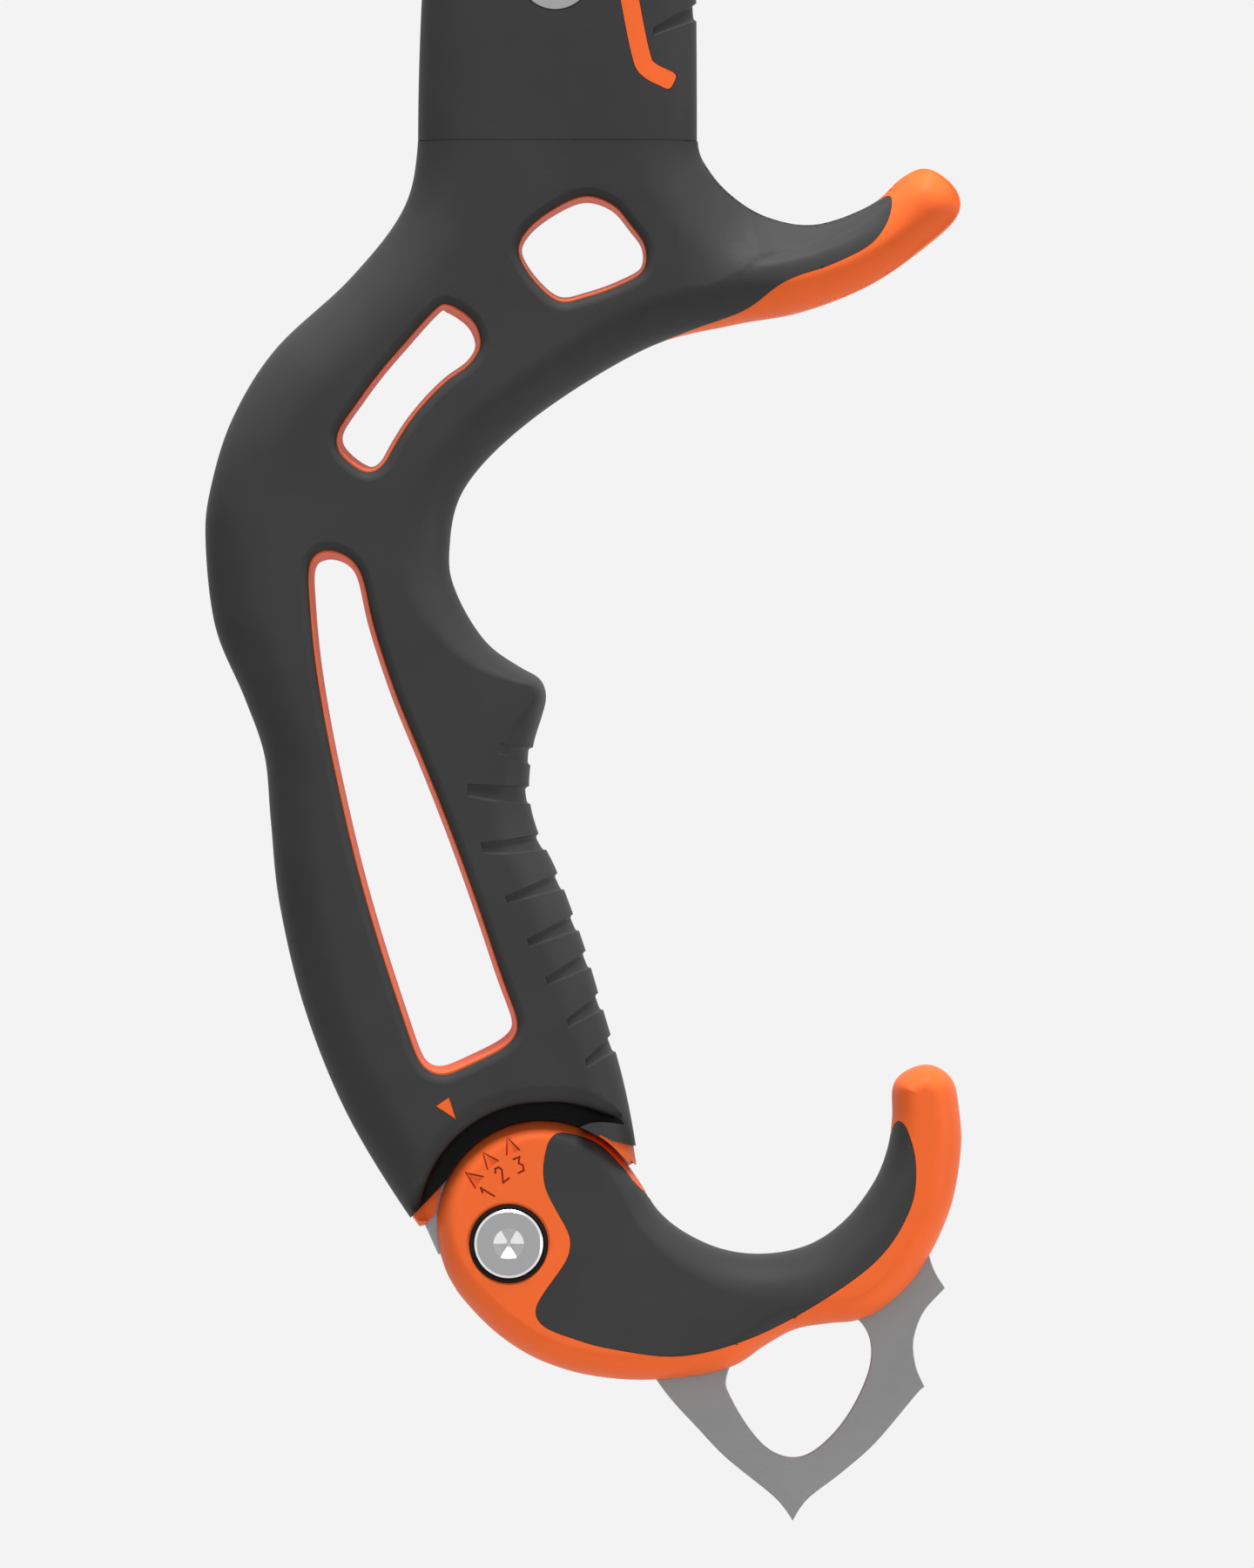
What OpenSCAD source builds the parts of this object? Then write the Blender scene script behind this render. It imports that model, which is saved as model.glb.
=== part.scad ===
/* [Handle] */
// Thickness of the moulded handle, skin included
handle_t = 26; // [22:0.5:32]
// Thickness of the upper hook near its tip
hook_t = 18; // [15:0.5:24]
// Thickness of the soft skin over the handle core
skin_t = 1.8; // [1.2:0.1:2.4]
// Height of the seam between the handle and the upper grip
seam_z = 146; // [142:1:152]
// Width of the rim by which the core shows inside each window
window_rim = 0.9; // [0.4:0.1:1.4]
// Depth of the finger grooves in the skin
groove_depth = 0.8; // [0.4:0.1:1.1]
// Width of a finger groove at the front edge
groove_w = 3.4; // [2.4:0.1:4]
// Thickness of the pointer set into the skin
pointer_t = 0.8; // [0.5:0.1:1]

/* [Shaft] */
// Depth of the upper grip at the seam, front to back
shaft_depth = 53.4; // [50:0.2:56]
// Depth that the upper grip would have at the head
shaft_depth_top = 38; // [34:0.5:42]
// Height of the top of the shaft tube
shaft_top = 338; // [320:1:360]
// Height of the top of the upper grip
grip_top = 258; // [236:1:280]
// Thickness of the upper grip's sleeve
sleeve_t = 1.8; // [1.2:0.1:2.4]
// Wall of the shaft tube
tube_wall = 2; // [1.5:0.1:3]
// Height of the core's tenon inside the tube
tenon_h = 58; // [44:1:80]
// Width of the coloured stripe on the upper grip
stripe_w = 3.5; // [2.5:0.1:5]
// Thickness of the stripe
stripe_t = 0.8; // [0.5:0.1:1.1]
// Height of the shaft bolt above the seam
shaft_bolt_rise = 32; // [26:1:38]
// Radius of the shaft bolt's round heads
shaft_bolt_head_r = 7.2; // [5:0.1:9]
// Radius of the shaft bolt's shank
shaft_bolt_r = 3; // [2:0.1:4]

/* [Pommel] */
// Thickness of the pommel over its two shells
pommel_t = 24; // [21:0.5:28]
// Radius of the pommel's round end
disc_r = 20.2; // [19.6:0.1:20.4]
// Gap between the round end and the handle
disc_gap = 0.7; // [0.5:0.1:1.2]
// Thickness of the soft pads on the pommel
pad_t = 1.5; // [1:0.1:2.2]
// Travel of the pommel to each side of its middle setting, in degrees
adjust_deg = 17; // [8:1:17]
// Radius of the pivot pin
pivot_r = 2.2; // [1.6:0.1:2.6]
// Distance of the clamp bolt from the pivot
bolt_offset = 7.2; // [6.8:0.1:7.8]
// Radius of the clamp bolt's shank
bolt_r = 3; // [2.4:0.1:3.2]
// Radius of the clamp bolt's head
bolt_head_r = 6.55; // [5:0.05:7]
// Height of the clamp bolt's head
bolt_head_h = 4; // [3.5:0.1:5]
// Hex socket of the clamp bolt, across its flats
bolt_socket = 5; // [4:0.5:6]
// Wall of the ring around the clamp bolt's head
ring_wall = 0.9; // [0.6:0.05:1.4]
// Clamp nut, across its flats
nut_af = 10; // [9:0.5:12]
// Height of the clamp nut
nut_h = 5; // [4:0.1:6]

/* [Steel plates] */
// Thickness of the tang that carries the pommel
tang_t = 5; // [3.5:0.1:5.6]
// Thickness of the spike
spike_t = 4; // [3:0.1:5]
// Thickness of the pick
pick_t = 4; // [3:0.1:5]
// Radius of the pins that hold the tang and the spike
plate_pin_r = 2; // [1.5:0.1:2.5]

/* [Head] */
// Thickness of the head
head_t = 22; // [18:0.5:26]
// Radius of the carabiner eye in the head
eye_r = 6.5; // [5:0.1:7]
// Radius of the bolts in the head
head_bolt_r = 3; // [2:0.1:3.5]
// Heads and nuts in the head, across their flats
head_bolt_af = 10; // [9:0.5:12]
// Height of the bolt heads and the nuts in the head
head_bolt_h = 4; // [3:0.1:5]
// Radius of the pins between the head and the shaft
head_pin_r = 2.5; // [1.5:0.1:3]
// Depth of the head's tongue inside the shaft
tongue_h = 34; // [26:1:44]
// Number of teeth under the pick
tooth_count = 14; // [8:1:18]
// Depth of a tooth
tooth_depth = 2.6; // [1.5:0.1:3.5]

/* [Fits] */
// Clearance of a turning fit, on the radius
run_fit = 0.05; // [0.03:0.01:0.08]
// Clearance between pieces that are fixed together
set_fit = 0.05; // [0.03:0.01:0.1]
// Clearance between faces that pass each other
move_fit = 0.3; // [0.2:0.05:0.5]

/* [Hidden] */

$fn = 48;
far = 200;
curve_steps = 2;
edge_rings = 6;
least_edge = 0.6;

orange = [0.95, 0.39, 0.19];
charcoal = [0.24, 0.24, 0.25];
steel = [0.58, 0.58, 0.58];
silver = [0.82, 0.83, 0.84];

// Centre of the pommel's round end, and a point at radius r and angle a around it
pivot = [22.7, -61.3];
handle_cut_r = disc_r + disc_gap;
function around(r, a) = pivot + r * [cos(a), sin(a)];
function edged(p, edge) = [p.x, p.y, edge];

// Outlines are lists of [x, z, edge rounding], counter-clockwise as seen from the left side. The handle's runs on
// above the seam, where it is cut off
over_seam = 16;
handle_line = [
    [-1, seam_z + over_seam, 13], [-1, seam_z, 13], [-3.8, 133, 13], [-14, 119.7, 13],
    [-28.2, 106.3, 13], [-36.5, 93, 13], [-40.7, 79.7, 13], [-41.7, 69.5, 13],
    [-39.8, 53, 12], [-34.3, 39.7, 11], [-30.4, 28.5, 10], [-29.2, 16, 10],
    [-27.5, 0, 10], [-22.7, -20, 10], [-14.5, -40.3, 10], edged(around(handle_cut_r + 4.3, 177), 8),
    [5, -68.5, 8], [14, -75, 8], [28, -76, 8], [39, -70, 8],
    edged(around(handle_cut_r - 1.5, 9.8), 7), edged(around(handle_cut_r + 2.2, 38.3), 6),
    [38.3, -33.7, 7], [34.5, -20.3, 8], [30.5, -7, 8], [25.6, 6.3, 8], [22.1, 13.5, 8], [20.3, 21, 8],
    [21, 30, 6], [22.8, 36.2, 3.5], [23.6, 39.8, 2], [22.4, 43.2, 2],
    [18.5, 45.4, 3.5], [12, 50.2, 6], [6.6, 59, 9], [5, 67, 10],
    [8, 79.7, 10], [21.2, 93, 9], [42.7, 106.3, 9], [59, 110.7, 8.5],
    [72.3, 113.2, 6.5], [85.7, 118.5, 6], [97, 126.4, 5], [102.5, 132, 4.5],
    [101.9, 137, 4.5], [96.6, 140.8, 4], [91.6, 139, 4], [85.7, 133.8, 6],
    [75, 130, 8.5], [65.7, 131.5, 10], [59, 135.6, 12.5], [54.6, 140.6, 13],
    [52.5, seam_z, 13], [52.4, seam_z + over_seam, 13]];

diamond_line = [[31, 135.2], [25.4, 133], [20.2, 129], [18.3, 124.6], [21.2, 119.2],
    [26, 115.2], [31.2, 116], [37.4, 118.2], [42, 121], [42.4, 125.6], [39.8, 129.6], [36.2, 133.6]];
slot_line = [[4.6, 114.6], [2, 113.2], [-3.6, 107], [-8.4, 101.4], [-12.4, 96], [-16, 90.6],
    [-16.2, 87], [-13.6, 84], [-10.4, 82.5], [-7.6, 84], [-5, 88.4], [-2.4, 92.4],
    [1, 96.5], [4.6, 100], [9, 103.3], [11, 107.2], [9.4, 111.6]];
long_line = [[-19.4, 67.6], [-21.7, 65], [-21.6, 58], [-20.5, 46.3], [-18.3, 33], [-15.5, 19.7],
    [-12.3, 6.3], [-8.5, -7], [-4.2, -20.3], [-1, -29.4], [1.2, -32], [4, -32.7], [7, -31.6],
    [15, -27.7], [17.7, -25], [18, -22], [15, -13.7], [10.5, -0.3], [5.7, 13], [0.5, 26.3],
    [-5, 39.7], [-9.4, 53], [-11.8, 63.2], [-15, 66.8]];

// Along the hook, where its sides start to draw in and where they have reached its own thickness
hook_from = 58;
hook_full = 92;
hook_end = 120;
hook_steps = 8;
hook_lead = 0.2;

// Part of the hook where the core comes to the surface
hook_tip_line = [[85.4, 134], [89.2, 135.8], [89.7, 134], [88.6, 130], [85.2, 125.8], [77.6, 122],
    [71.8, 120.1], [67.8, 118.1], [61.5, 113.4], [51.3, 109.6], [44, 106.8], [60, 100],
    [92, 108], [112, 128], [108, 146], [92, 148], [86, 138]];

// Hand-rest pommel, from the end of its round part to the start of it
disc_start_deg = 45;
disc_end_deg = 180;
disc_step_deg = 15;
disc_edge = 4;
pommel_line = concat(
    [for (a = [disc_start_deg : disc_step_deg : disc_end_deg]) edged(around(disc_r, a), disc_edge)],
    [edged(around(disc_r + 0.1, 197.5), 4), edged(around(disc_r + 0.4, 215.8), 4.5), [12.3, -80.5, 5],
    [19, -85.5, 5], [25.7, -88.5, 5], [33, -90.3, 5], [42, -91, 5], [52.3, -90.2, 5], [59.8, -88.2, 5],
    [65.5, -84.4, 5],
    [71.3, -81.3, 5], [77.8, -80.2, 5], [83.2, -79.6, 5], [88.7, -76.7, 5], [95, -70.2, 5.5],
    [100.7, -58.7, 6.5], [102.9, -47, 6], [102.5, -38.8, 5], [101.2, -33.4, 4.5],
    [97.2, -30.7, 4.5], [92.8, -31.6, 4.5], [89.9, -34.6, 4.5], [89.7, -41, 5.5], [88.8, -46.8, 6.5],
    [86.2, -53.2, 8], [80.8, -60.3, 9], [74, -65, 9.5], [65.7, -66.8, 9], [57.5, -66, 7.5],
    [50, -62.7, 6], edged(around(disc_r + 2.1, 7.5), 5), edged(around(disc_r + 0.3, 24.4), 4.5)]);

pad_line = [around(disc_r - 2, 77), around(disc_r - 3.4, 84), [23.4, -47.6], [23, -51.5], [24, -55.6],
    [27.6, -62.2], [28.2, -65], [27.2, -68.4], [22.6, -75], [21.5, -78.2], [23.4, -80.8], [28.7, -82.9],
    [35.6, -84.8], [48.5, -86.3], [61.2, -83.4], [74, -77.1], [86.7, -68], [93, -58.4],
    [94.2, -50], [92.6, -43.2], [90.8, -41.1], [89.9, -42.6], [88.6, -45.4], [84, -48], [76, -55], [66, -57.5],
    [56, -57], [49.4, -57], around(disc_r + 2.3, 12), around(disc_r - 0.3, 21.5), around(disc_r - 1.3, 38.3),
    around(disc_r - 1.3, 57)];

// Keys under each pad that lock it into its shell: place and direction
pad_keys = [[30, -50, 60], [33, -57, 30], [34.5, -65.5, 90], [31, -74, 60], [40, -70, 0], [45, -78, 0],
    [60, -74, 10], [70, -72.5, 20]];
key_l = 3;
key_r = 1.2;
key_depth = 1.2;

// Spike plate below the pommel, with its upper edge hidden between the shells
spike_line = [[40, -84], [46.4, -93.4], [52.6, -100.3], [58, -105.9], [66.3, -112.6], [69, -115.4],
    [70.7, -117.9], [72.2, -115.4], [74.4, -113], [80.3, -108.5], [86.7, -102.8], [94.3, -93.8],
    [95.9, -92.3], [94.4, -88.8], [93.8, -84.8], [94.3, -81.4], [96, -77.6], [99.8, -73.4],
    [97.6, -69.6], [95, -62], [90, -60], [82, -66], [74, -71], [60, -74], [48, -74]];
clip_eye_line = [[58, -90.8], [59.2, -95], [62.8, -100.8], [66.4, -104.4], [70.6, -105.8],
    [74.6, -104.6], [79.2, -100.4], [83, -94.6], [85.5, -88], [85.2, -82.4], [82, -78.6],
    [76, -77.2], [68, -79.4], [61, -84.6]];
spike_pins_at = [[54, -79.5], [88, -69.5]];

// Tang: a disc around the pivot, a neck and two prongs beside the long window
tang_disc_inset = 0.8;
tang_disc_r = disc_r - tang_disc_inset;
tang_neck_line = [[24, -58], around(disc_r + 0.9, 34), [36.4, -45.4], [35.4, -40], [32, -24], [28.4, -8], [22.8, -8], [24.4, -22],
    [18, -33], [4, -37.4], [-3.6, -34.4], [-9.4, -16], [-13.6, 4], [-20.4, 2], [-20.4, -12], [-13, -36],
    [-4, -52], around(disc_r + 2, 181), around(disc_r + 0.4, 196)];
tang_pins_at = [[-16.4, -4], [26.6, -17]];
pin_cover = 4.4;
neck_low_deg = 31;
neck_high_deg = 200;

// Edges of the handle around the pommel: where the core ends and where the skin stops short of it
core_cut_left = [[-9, -64.1], around(handle_cut_r + 1.5, 180), around(handle_cut_r - 1.8, 168.2), [12, -66],
    [12, -84], [-9, -84]];
core_cut_right = [around(handle_cut_r - 1.3, 51), around(handle_cut_r + 0.1, 37.3), around(handle_cut_r + 0.3, 33),
    [48, -51], [48, -84], [30, -84], [30, -56]];
skin_cut_left = [[-9, -66.8], around(handle_cut_r - 0.2, 159.4), around(handle_cut_r - 1.1, 150.7), [12, -58],
    [12, -84], [-9, -84]];
skin_cut_right = [around(handle_cut_r - 0.3, 57.5), around(handle_cut_r + 0.2, 49.8), [48, -47.9],
    [48, -84], [30, -84], [30, -54]];
scoop_r = handle_cut_r + 2.6;
scoop_floor = 7.2;
scoop_from_deg = 52;
scoop_to_deg = 158;

// Finger grooves: inner end and place on the front edge
grooves = [[[14.3, 30.2], [21, 28.6]], [[8.6, 21], [20.9, 20.7]], [[11.5, 10], [23.6, 12.8]],
    [[15.8, 1.3], [26.8, 5]], [[20, -7], [29.6, -2.9]], [[23.8, -15], [32.3, -10.6]],
    [[27.7, -22.8], [34.8, -18.4]], [[31.3, -30.7], [37.2, -26.6]]];
upper_groove = [[44, 21], [53, 25]];
upper_groove_count = 5;
upper_groove_pitch = 8.5;
pointer_line = [[2.4, -38.5], [6.4, -41.1], [5, -36.7]];

// Stripe up the side of the upper grip
stripe_path = [[46.9, 157.5], [43.2, 159.4], [41.7, 162.2], [39.5, 173], [36.4, 190], [34.2, 206], [33.4, 236]];

// Shaft axis and half thickness from the seam to the head
axis_low = 25.7;
axis_top = 31;
shaft_t_top = 23.6;
shaft_edge = 13;
shaft_edge_top = 12.5;
shaft_rings = 8;
oval_steps = 8;
bolt_spot = [axis_low - 0.4, seam_z + shaft_bolt_rise];

clamp_deg = 209;
clamp_spot = around(bolt_offset, clamp_deg);
clamp_slot = bolt_r + move_fit;
bolt_head_proud = 0.4;
head_seat = bolt_head_h - bolt_head_proud;
socket_floor = 1.2;
thread_end = 0.5;
nut_sunk = 0.3;
pin_wall = 0.8;
pivot_half = pommel_t / 2 - max(head_seat, nut_h) - pin_wall;

// Head, pick and hammer, measured from the top of the shaft
head_foot = 17;
head_line = [[axis_top - head_foot, 0], [axis_top - head_foot / 3, 0], [axis_top + head_foot / 3, 0],
    [axis_top + head_foot, 0], [51, 10],
    [59, 17.5], [68, 21], [74, 26], [73.6, 34], [66, 39.4], [50, 42],
    [30, 42.6], [12, 40.4], [0, 36], [-1.6, 26], [4, 16], [10.4, 9]];
eye_spot = [axis_top - 1, 10.5];
slot_floor = 19.5;
pick_bolts_at = [[56, 30], [36, 31]];
hammer_bolt_at = [14, 30];
pick_tail = 27;
pick_lift = 38;
pick_tip = [205, -38];
pick_top_bend = [[92, 39], [160, 26]];
pick_low_bend = [[100, 22], [150, 12]];
pick_root = 70;
hammer_gap = 0.4;
hammer_line = [[pick_tail - hammer_gap, slot_floor + hammer_gap], [pick_tail - hammer_gap, pick_lift], [-6, 34],
    [-6, 24], [0, slot_floor + hammer_gap]];
hammer_face_line = [[-3.2, 36.5], [-10, 37.5], [-16, 41], [-20, 41], [-20, 16.5], [-16, 16.5], [-10, 20.5],
    [-3.2, 23]];
hammer_t = 15;
recess_room = 0.6;
glue_gap = 0.2;
tongue_gap = 0.6;
tongue_r = shaft_t_top / 2 - sleeve_t - tube_wall - tongue_gap;
tongue_reach = shaft_depth_top / 2 - sleeve_t - tube_wall - tongue_gap - tongue_r;
tongue_root = 6;
head_pins_at = [[axis_top - 6, -12], [axis_top + 5, -24]];

// Smooth closed curve through control points (Catmull-Rom), with steps pieces between two points
function at(v, i) = v[(i + len(v)) % len(v)];
function between(a, b, c, d, t) =
    0.5 * (2 * b + (c - a) * t + (2 * a - 5 * b + 4 * c - d) * t * t + (3 * b - a - 3 * c + d) * t * t * t);
function closed_curve(v, steps = curve_steps) =
    [for (i = [0 : len(v) - 1]) for (k = [0 : steps - 1])
        between(at(v, i - 1), v[i], at(v, i + 1), at(v, i + 2), k / steps)];

// Outward unit normal of a counter-clockwise curve, and the curve moved inwards by d
function outward(c, i) =
    let (s = [at(c, i + 1).x - at(c, i - 1).x, at(c, i + 1).y - at(c, i - 1).y]) [s.y, -s.x] / norm(s);
function inset(c, d) = [for (i = [0 : len(c) - 1]) let (n = outward(c, i)) [c[i].x - n.x * d, c[i].y - n.y * d]];
function bezier(a, b, c, d, t) =
    a * pow(1 - t, 3) + 3 * b * t * pow(1 - t, 2) + 3 * c * t * t * (1 - t) + d * pow(t, 3);
function raised(v, z) = [for (p = v) [p.x, p.y + z]];
function flat(v) = [for (p = v) [p.x, p.y]];
function mix(a, b, t) = a + (b - a) * t;

// Moulded solid with flat sides, whose edge is a half ellipse carried around a curve; depth shrinks it all round
module rounded_body(c, half_t, depth = 0) {
    count = len(c);
    points = [for (k = [0 : edge_rings]) for (i = [0 : count - 1])
        let (a = -90 + 180 * k / edge_rings,
            n = outward(c, i),
            in = depth + max(c[i][2] - depth, least_edge) * (1 - cos(a)))
        [c[i].x - n.x * in, (half_t - depth) * sin(a), c[i].y - n.y * in]];
    sides = [for (k = [0 : edge_rings - 1]) for (i = [0 : count - 1])
        let (j = (i + 1) % count, p = k * count, q = p + count)
        each [[p + i, p + j, q + j], [p + i, q + j, q + i]]];
    near = [for (i = [count - 1 : -1 : 0]) i];
    opposite = [for (i = [0 : count - 1]) edge_rings * count + i];
    polyhedron(points, concat(sides, [near, opposite]), convexity = 6);
}

// Convex solid around the points of two neighbouring ovals
module solid_of(points) {
    polyhedron(points, [[for (i = [0 : len(points) - 1]) i]]);
}

// Oval section of the shaft at height z, depth below the upper grip's surface
function shaft_share(z) = let (t = min(max((z - seam_z) / (shaft_top - seam_z), 0), 1)) t * t * (3 - 2 * t);
function shaft_axis(z) = mix(axis_low, axis_top, shaft_share(z));
function shaft_oval(z, depth) =
    let (s = shaft_share(z),
        half = mix(shaft_depth, shaft_depth_top, s) / 2 - depth,
        half_t = mix(handle_t, shaft_t_top, s) / 2 - depth,
        edge = mix(shaft_edge, shaft_edge_top, s) - depth)
    [for (side = [1, -1]) for (k = [0 : oval_steps])
        let (a = -90 + 180 * k / oval_steps)
        [shaft_axis(z) + side * (half - edge * (1 - cos(a))), side * half_t * sin(a), z]];

// Solid stretch of the shaft's form from one height to another
module shaft_form(z0, z1, depth) {
    rings = [for (k = [0 : shaft_rings]) shaft_oval(mix(z0, z1, k / shaft_rings), depth)];
    for (k = [0 : shaft_rings - 1]) hull() solid_of(concat(rings[k], rings[k + 1]));
}

// Outline in the side plane, extruded from y0 to y1
module slab(line, y0, y1) {
    translate([0, y1, 0]) rotate([90, 0, 0]) linear_extrude(y1 - y0) polygon(flat(line));
}
module plate(line, t) { slab(line, -t / 2, t / 2); }
module through(line) { slab(line, -far / 2, far / 2); }

// Round bar across the tool
module bar(spot, r, y0, y1) {
    translate([spot.x, y1, spot.y]) rotate([90, 0, 0]) cylinder(r = r, h = y1 - y0);
}
module hex_bar(spot, af, y0, y1, turn = 0) {
    translate([spot.x, y1, spot.y]) rotate([90, 0, 0]) rotate([0, 0, turn])
        cylinder(r = af / sqrt(3), h = y1 - y0, $fn = 6);
}
module half_space(side) {
    translate([-far, side < 0 ? -far : 0, -far]) cube([3 * far, far, 3 * far]);
}

// Sector of a disc about the pivot
function sector(r, from, to, steps = 12) =
    concat([pivot], [for (k = [0 : steps]) around(r, mix(from, to, k / steps))]);

handle_curve = closed_curve(handle_line);
pommel_curve = closed_curve(pommel_line);
window_curves = [for (w = [diamond_line, slot_line, long_line]) closed_curve(w)];
hook_tip_curve = closed_curve(hook_tip_line);
pad_curve = closed_curve(pad_line);

// What is taken off both sides of the hook, in plan: half its thickness eases from the handle's to its own
function hook_half(x) =
    let (t = min(max((x - hook_from) / (hook_full - hook_from), 0), 1))
    mix(handle_t + hook_lead, hook_t, t * t * (3 - 2 * t)) / 2;
module hook_sides(depth) {
    line = concat([for (k = [0 : hook_steps]) let (x = mix(hook_from, hook_full, k / hook_steps))
        [x, hook_half(x) - depth]], [[hook_end, hook_t / 2 - depth], [hook_end, far / 2], [hook_from, far / 2]]);
    for (side = [0, 1]) mirror([0, side, 0]) linear_extrude(seam_z) polygon(line);
}

// The handle's moulded form, depth below its surface
module handle_form(depth = 0) {
    difference() {
        rounded_body(handle_curve, handle_t / 2, depth);
        hook_sides(depth);
    }
}

// Everything that the handle leaves free around the pommel's round end
module pommel_room(left, right) {
    bar(pivot, handle_cut_r, -far / 2, far / 2);
    through(left);
    through(right);
}

// Recess around the round end, sunk from both sides of the handle
module scoop(extra = 0) {
    for (side = [-1, 1])
        intersection() {
            difference() {
                bar(pivot, scoop_r + extra, side < 0 ? -far / 2 : handle_t / 2 - scoop_floor - extra,
                    side < 0 ? -handle_t / 2 + scoop_floor + extra : far / 2);
                bar(pivot, handle_cut_r - 1, -far, far);
            }
            through(sector(scoop_r * 2, scoop_from_deg - extra, scoop_to_deg + extra));
        }
}

module below_seam() { translate([-far, -far / 2, -far]) cube([2 * far, far, far + seam_z]); }

module tang_outline(grow) {
    bar(pivot, tang_disc_r + grow, -tang_t / 2 - grow, tang_t / 2 + grow);
    plate(inset(tang_neck_line, -grow), tang_t + 2 * grow);
}

module shaft() {
    color(charcoal) difference() {
        shaft_form(seam_z + set_fit, shaft_top, sleeve_t);
        shaft_form(seam_z - 1, shaft_top + 1, sleeve_t + tube_wall);
        bar(bolt_spot, shaft_bolt_r + set_fit, -far / 2, far / 2);
        for (p = raised(head_pins_at, shaft_top)) bar(p, head_pin_r + set_fit, -far / 2, far / 2);
    }
}

module stripe_form(grow) {
    for (i = [0 : len(stripe_path) - 2])
        let (a = stripe_path[i], b = stripe_path[i + 1],
            n = [b.y - a.y, a.x - b.x] / norm(b - a) * (stripe_w / 2 + grow))
        through([a - n, b - n, b + n, a + n]);
    for (p = stripe_path) bar(p, stripe_w / 2 + grow, -far / 2, far / 2);
}

module upper_grip() {
    color(charcoal) difference() {
        shaft_form(seam_z + set_fit, grip_top, 0);
        shaft_form(seam_z - 1, grip_top + 1, sleeve_t - set_fit);
        for (y = [-1, 1]) bar(bolt_spot, shaft_bolt_head_r + set_fit, min(0, y * far / 2), max(0, y * far / 2));
        difference() {
            stripe_form(set_fit);
            shaft_form(seam_z, grip_top, stripe_t + set_fit);
        }
        difference() {
            for (k = [0 : upper_groove_count - 1]) groove(raised(upper_groove, seam_z + k * upper_groove_pitch));
            shaft_form(seam_z - 1, grip_top + 1, groove_depth);
        }
    }
}

module stripe_inlays() {
    color(orange) difference() {
        intersection() {
            shaft_form(seam_z, grip_top, 0);
            stripe_form(0);
        }
        shaft_form(seam_z - 1, grip_top + 1, stripe_t);
    }
}

module shaft_bolt() {
    color(silver) {
        bar(bolt_spot, shaft_bolt_head_r, -handle_t / 2, -handle_t / 2 + sleeve_t);
        bar(bolt_spot, shaft_bolt_r, -handle_t / 2 + sleeve_t, handle_t / 2 - sleeve_t);
    }
}

module shaft_bolt_nut() {
    color(silver) bar(bolt_spot, shaft_bolt_head_r, handle_t / 2 - sleeve_t, handle_t / 2);
}

module handle_core() {
    color(orange) difference() {
        union() {
            intersection() {
                handle_form(skin_t + set_fit);
                below_seam();
            }
            intersection() {
                handle_form();
                union() {
                    through(hook_tip_curve);
                    through(skin_cut_left);
                    through(skin_cut_right);
                }
            }
            shaft_form(seam_z - 2, seam_z + tenon_h, sleeve_t + tube_wall + glue_gap);
        }
        for (w = window_curves) through(inset(w, window_rim));
        scoop(skin_t);
        pommel_room(core_cut_left, core_cut_right);
        tang_outline(set_fit);
        for (p = tang_pins_at) bar(p, plate_pin_r + set_fit, -far / 2, far / 2);
        bar(bolt_spot, shaft_bolt_r + set_fit, -far / 2, far / 2);
    }
}

// Wedge that a finger groove takes out of the skin
module groove(ends) {
    hull() {
        bar(ends[0], groove_w / 4, -far / 2, far / 2, $fn = 12);
        bar(ends[1], groove_w / 2, -far / 2, far / 2, $fn = 12);
    }
}

module handle_skin() {
    color(charcoal) difference() {
        intersection() {
            handle_form();
            below_seam();
        }
        difference() {
            handle_form(skin_t);
            scoop(skin_t);
        }
        difference() {
            for (g = grooves) groove(g);
            handle_form(groove_depth);
        }
        for (w = window_curves) through(w);
        through(hook_tip_curve);
        scoop();
        pommel_room(skin_cut_left, skin_cut_right);
        for (y = [-1, 1])
            slab(inset(pointer_line, -set_fit), y < 0 ? -far / 2 : handle_t / 2 - pointer_t,
                y < 0 ? pointer_t - handle_t / 2 : far / 2);
    }
}

module position_pointers() {
    color(orange) for (y = [-1, 1])
        slab(pointer_line, y < 0 ? -handle_t / 2 : handle_t / 2 - pointer_t,
            y < 0 ? pointer_t - handle_t / 2 : handle_t / 2);
}

// Curved slot that the clamp bolt travels along in the tang
module clamp_travel() {
    intersection() {
        difference() {
            bar(pivot, bolt_offset + clamp_slot, -far / 2, far / 2);
            bar(pivot, bolt_offset - clamp_slot, -far, far);
        }
        through(sector(bolt_offset * 4, clamp_deg - adjust_deg, clamp_deg + adjust_deg));
    }
    for (a = [-adjust_deg, adjust_deg])
        bar(around(bolt_offset, clamp_deg + a), clamp_slot, -far / 2, far / 2);
}

module tang() {
    color(steel) difference() {
        union() {
            bar(pivot, tang_disc_r, -tang_t / 2, tang_t / 2);
            plate(tang_neck_line, tang_t);
        }
        bar(pivot, pivot_r + run_fit, -far / 2, far / 2);
        clamp_travel();
        for (p = tang_pins_at) bar(p, plate_pin_r + set_fit, -far / 2, far / 2);
    }
}

module tang_pins() {
    color(silver) for (p = tang_pins_at) bar(p, plate_pin_r, pin_cover - handle_t / 2, handle_t / 2 - pin_cover);
}

// Tongue of the head inside the top of the shaft tube
module head_tongue() {
    hull() for (side = [-1, 1])
        translate([axis_top + side * tongue_reach, 0, shaft_top - tongue_h])
            cylinder(r = tongue_r, h = tongue_h + tongue_root, $fn = 32);
}

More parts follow.
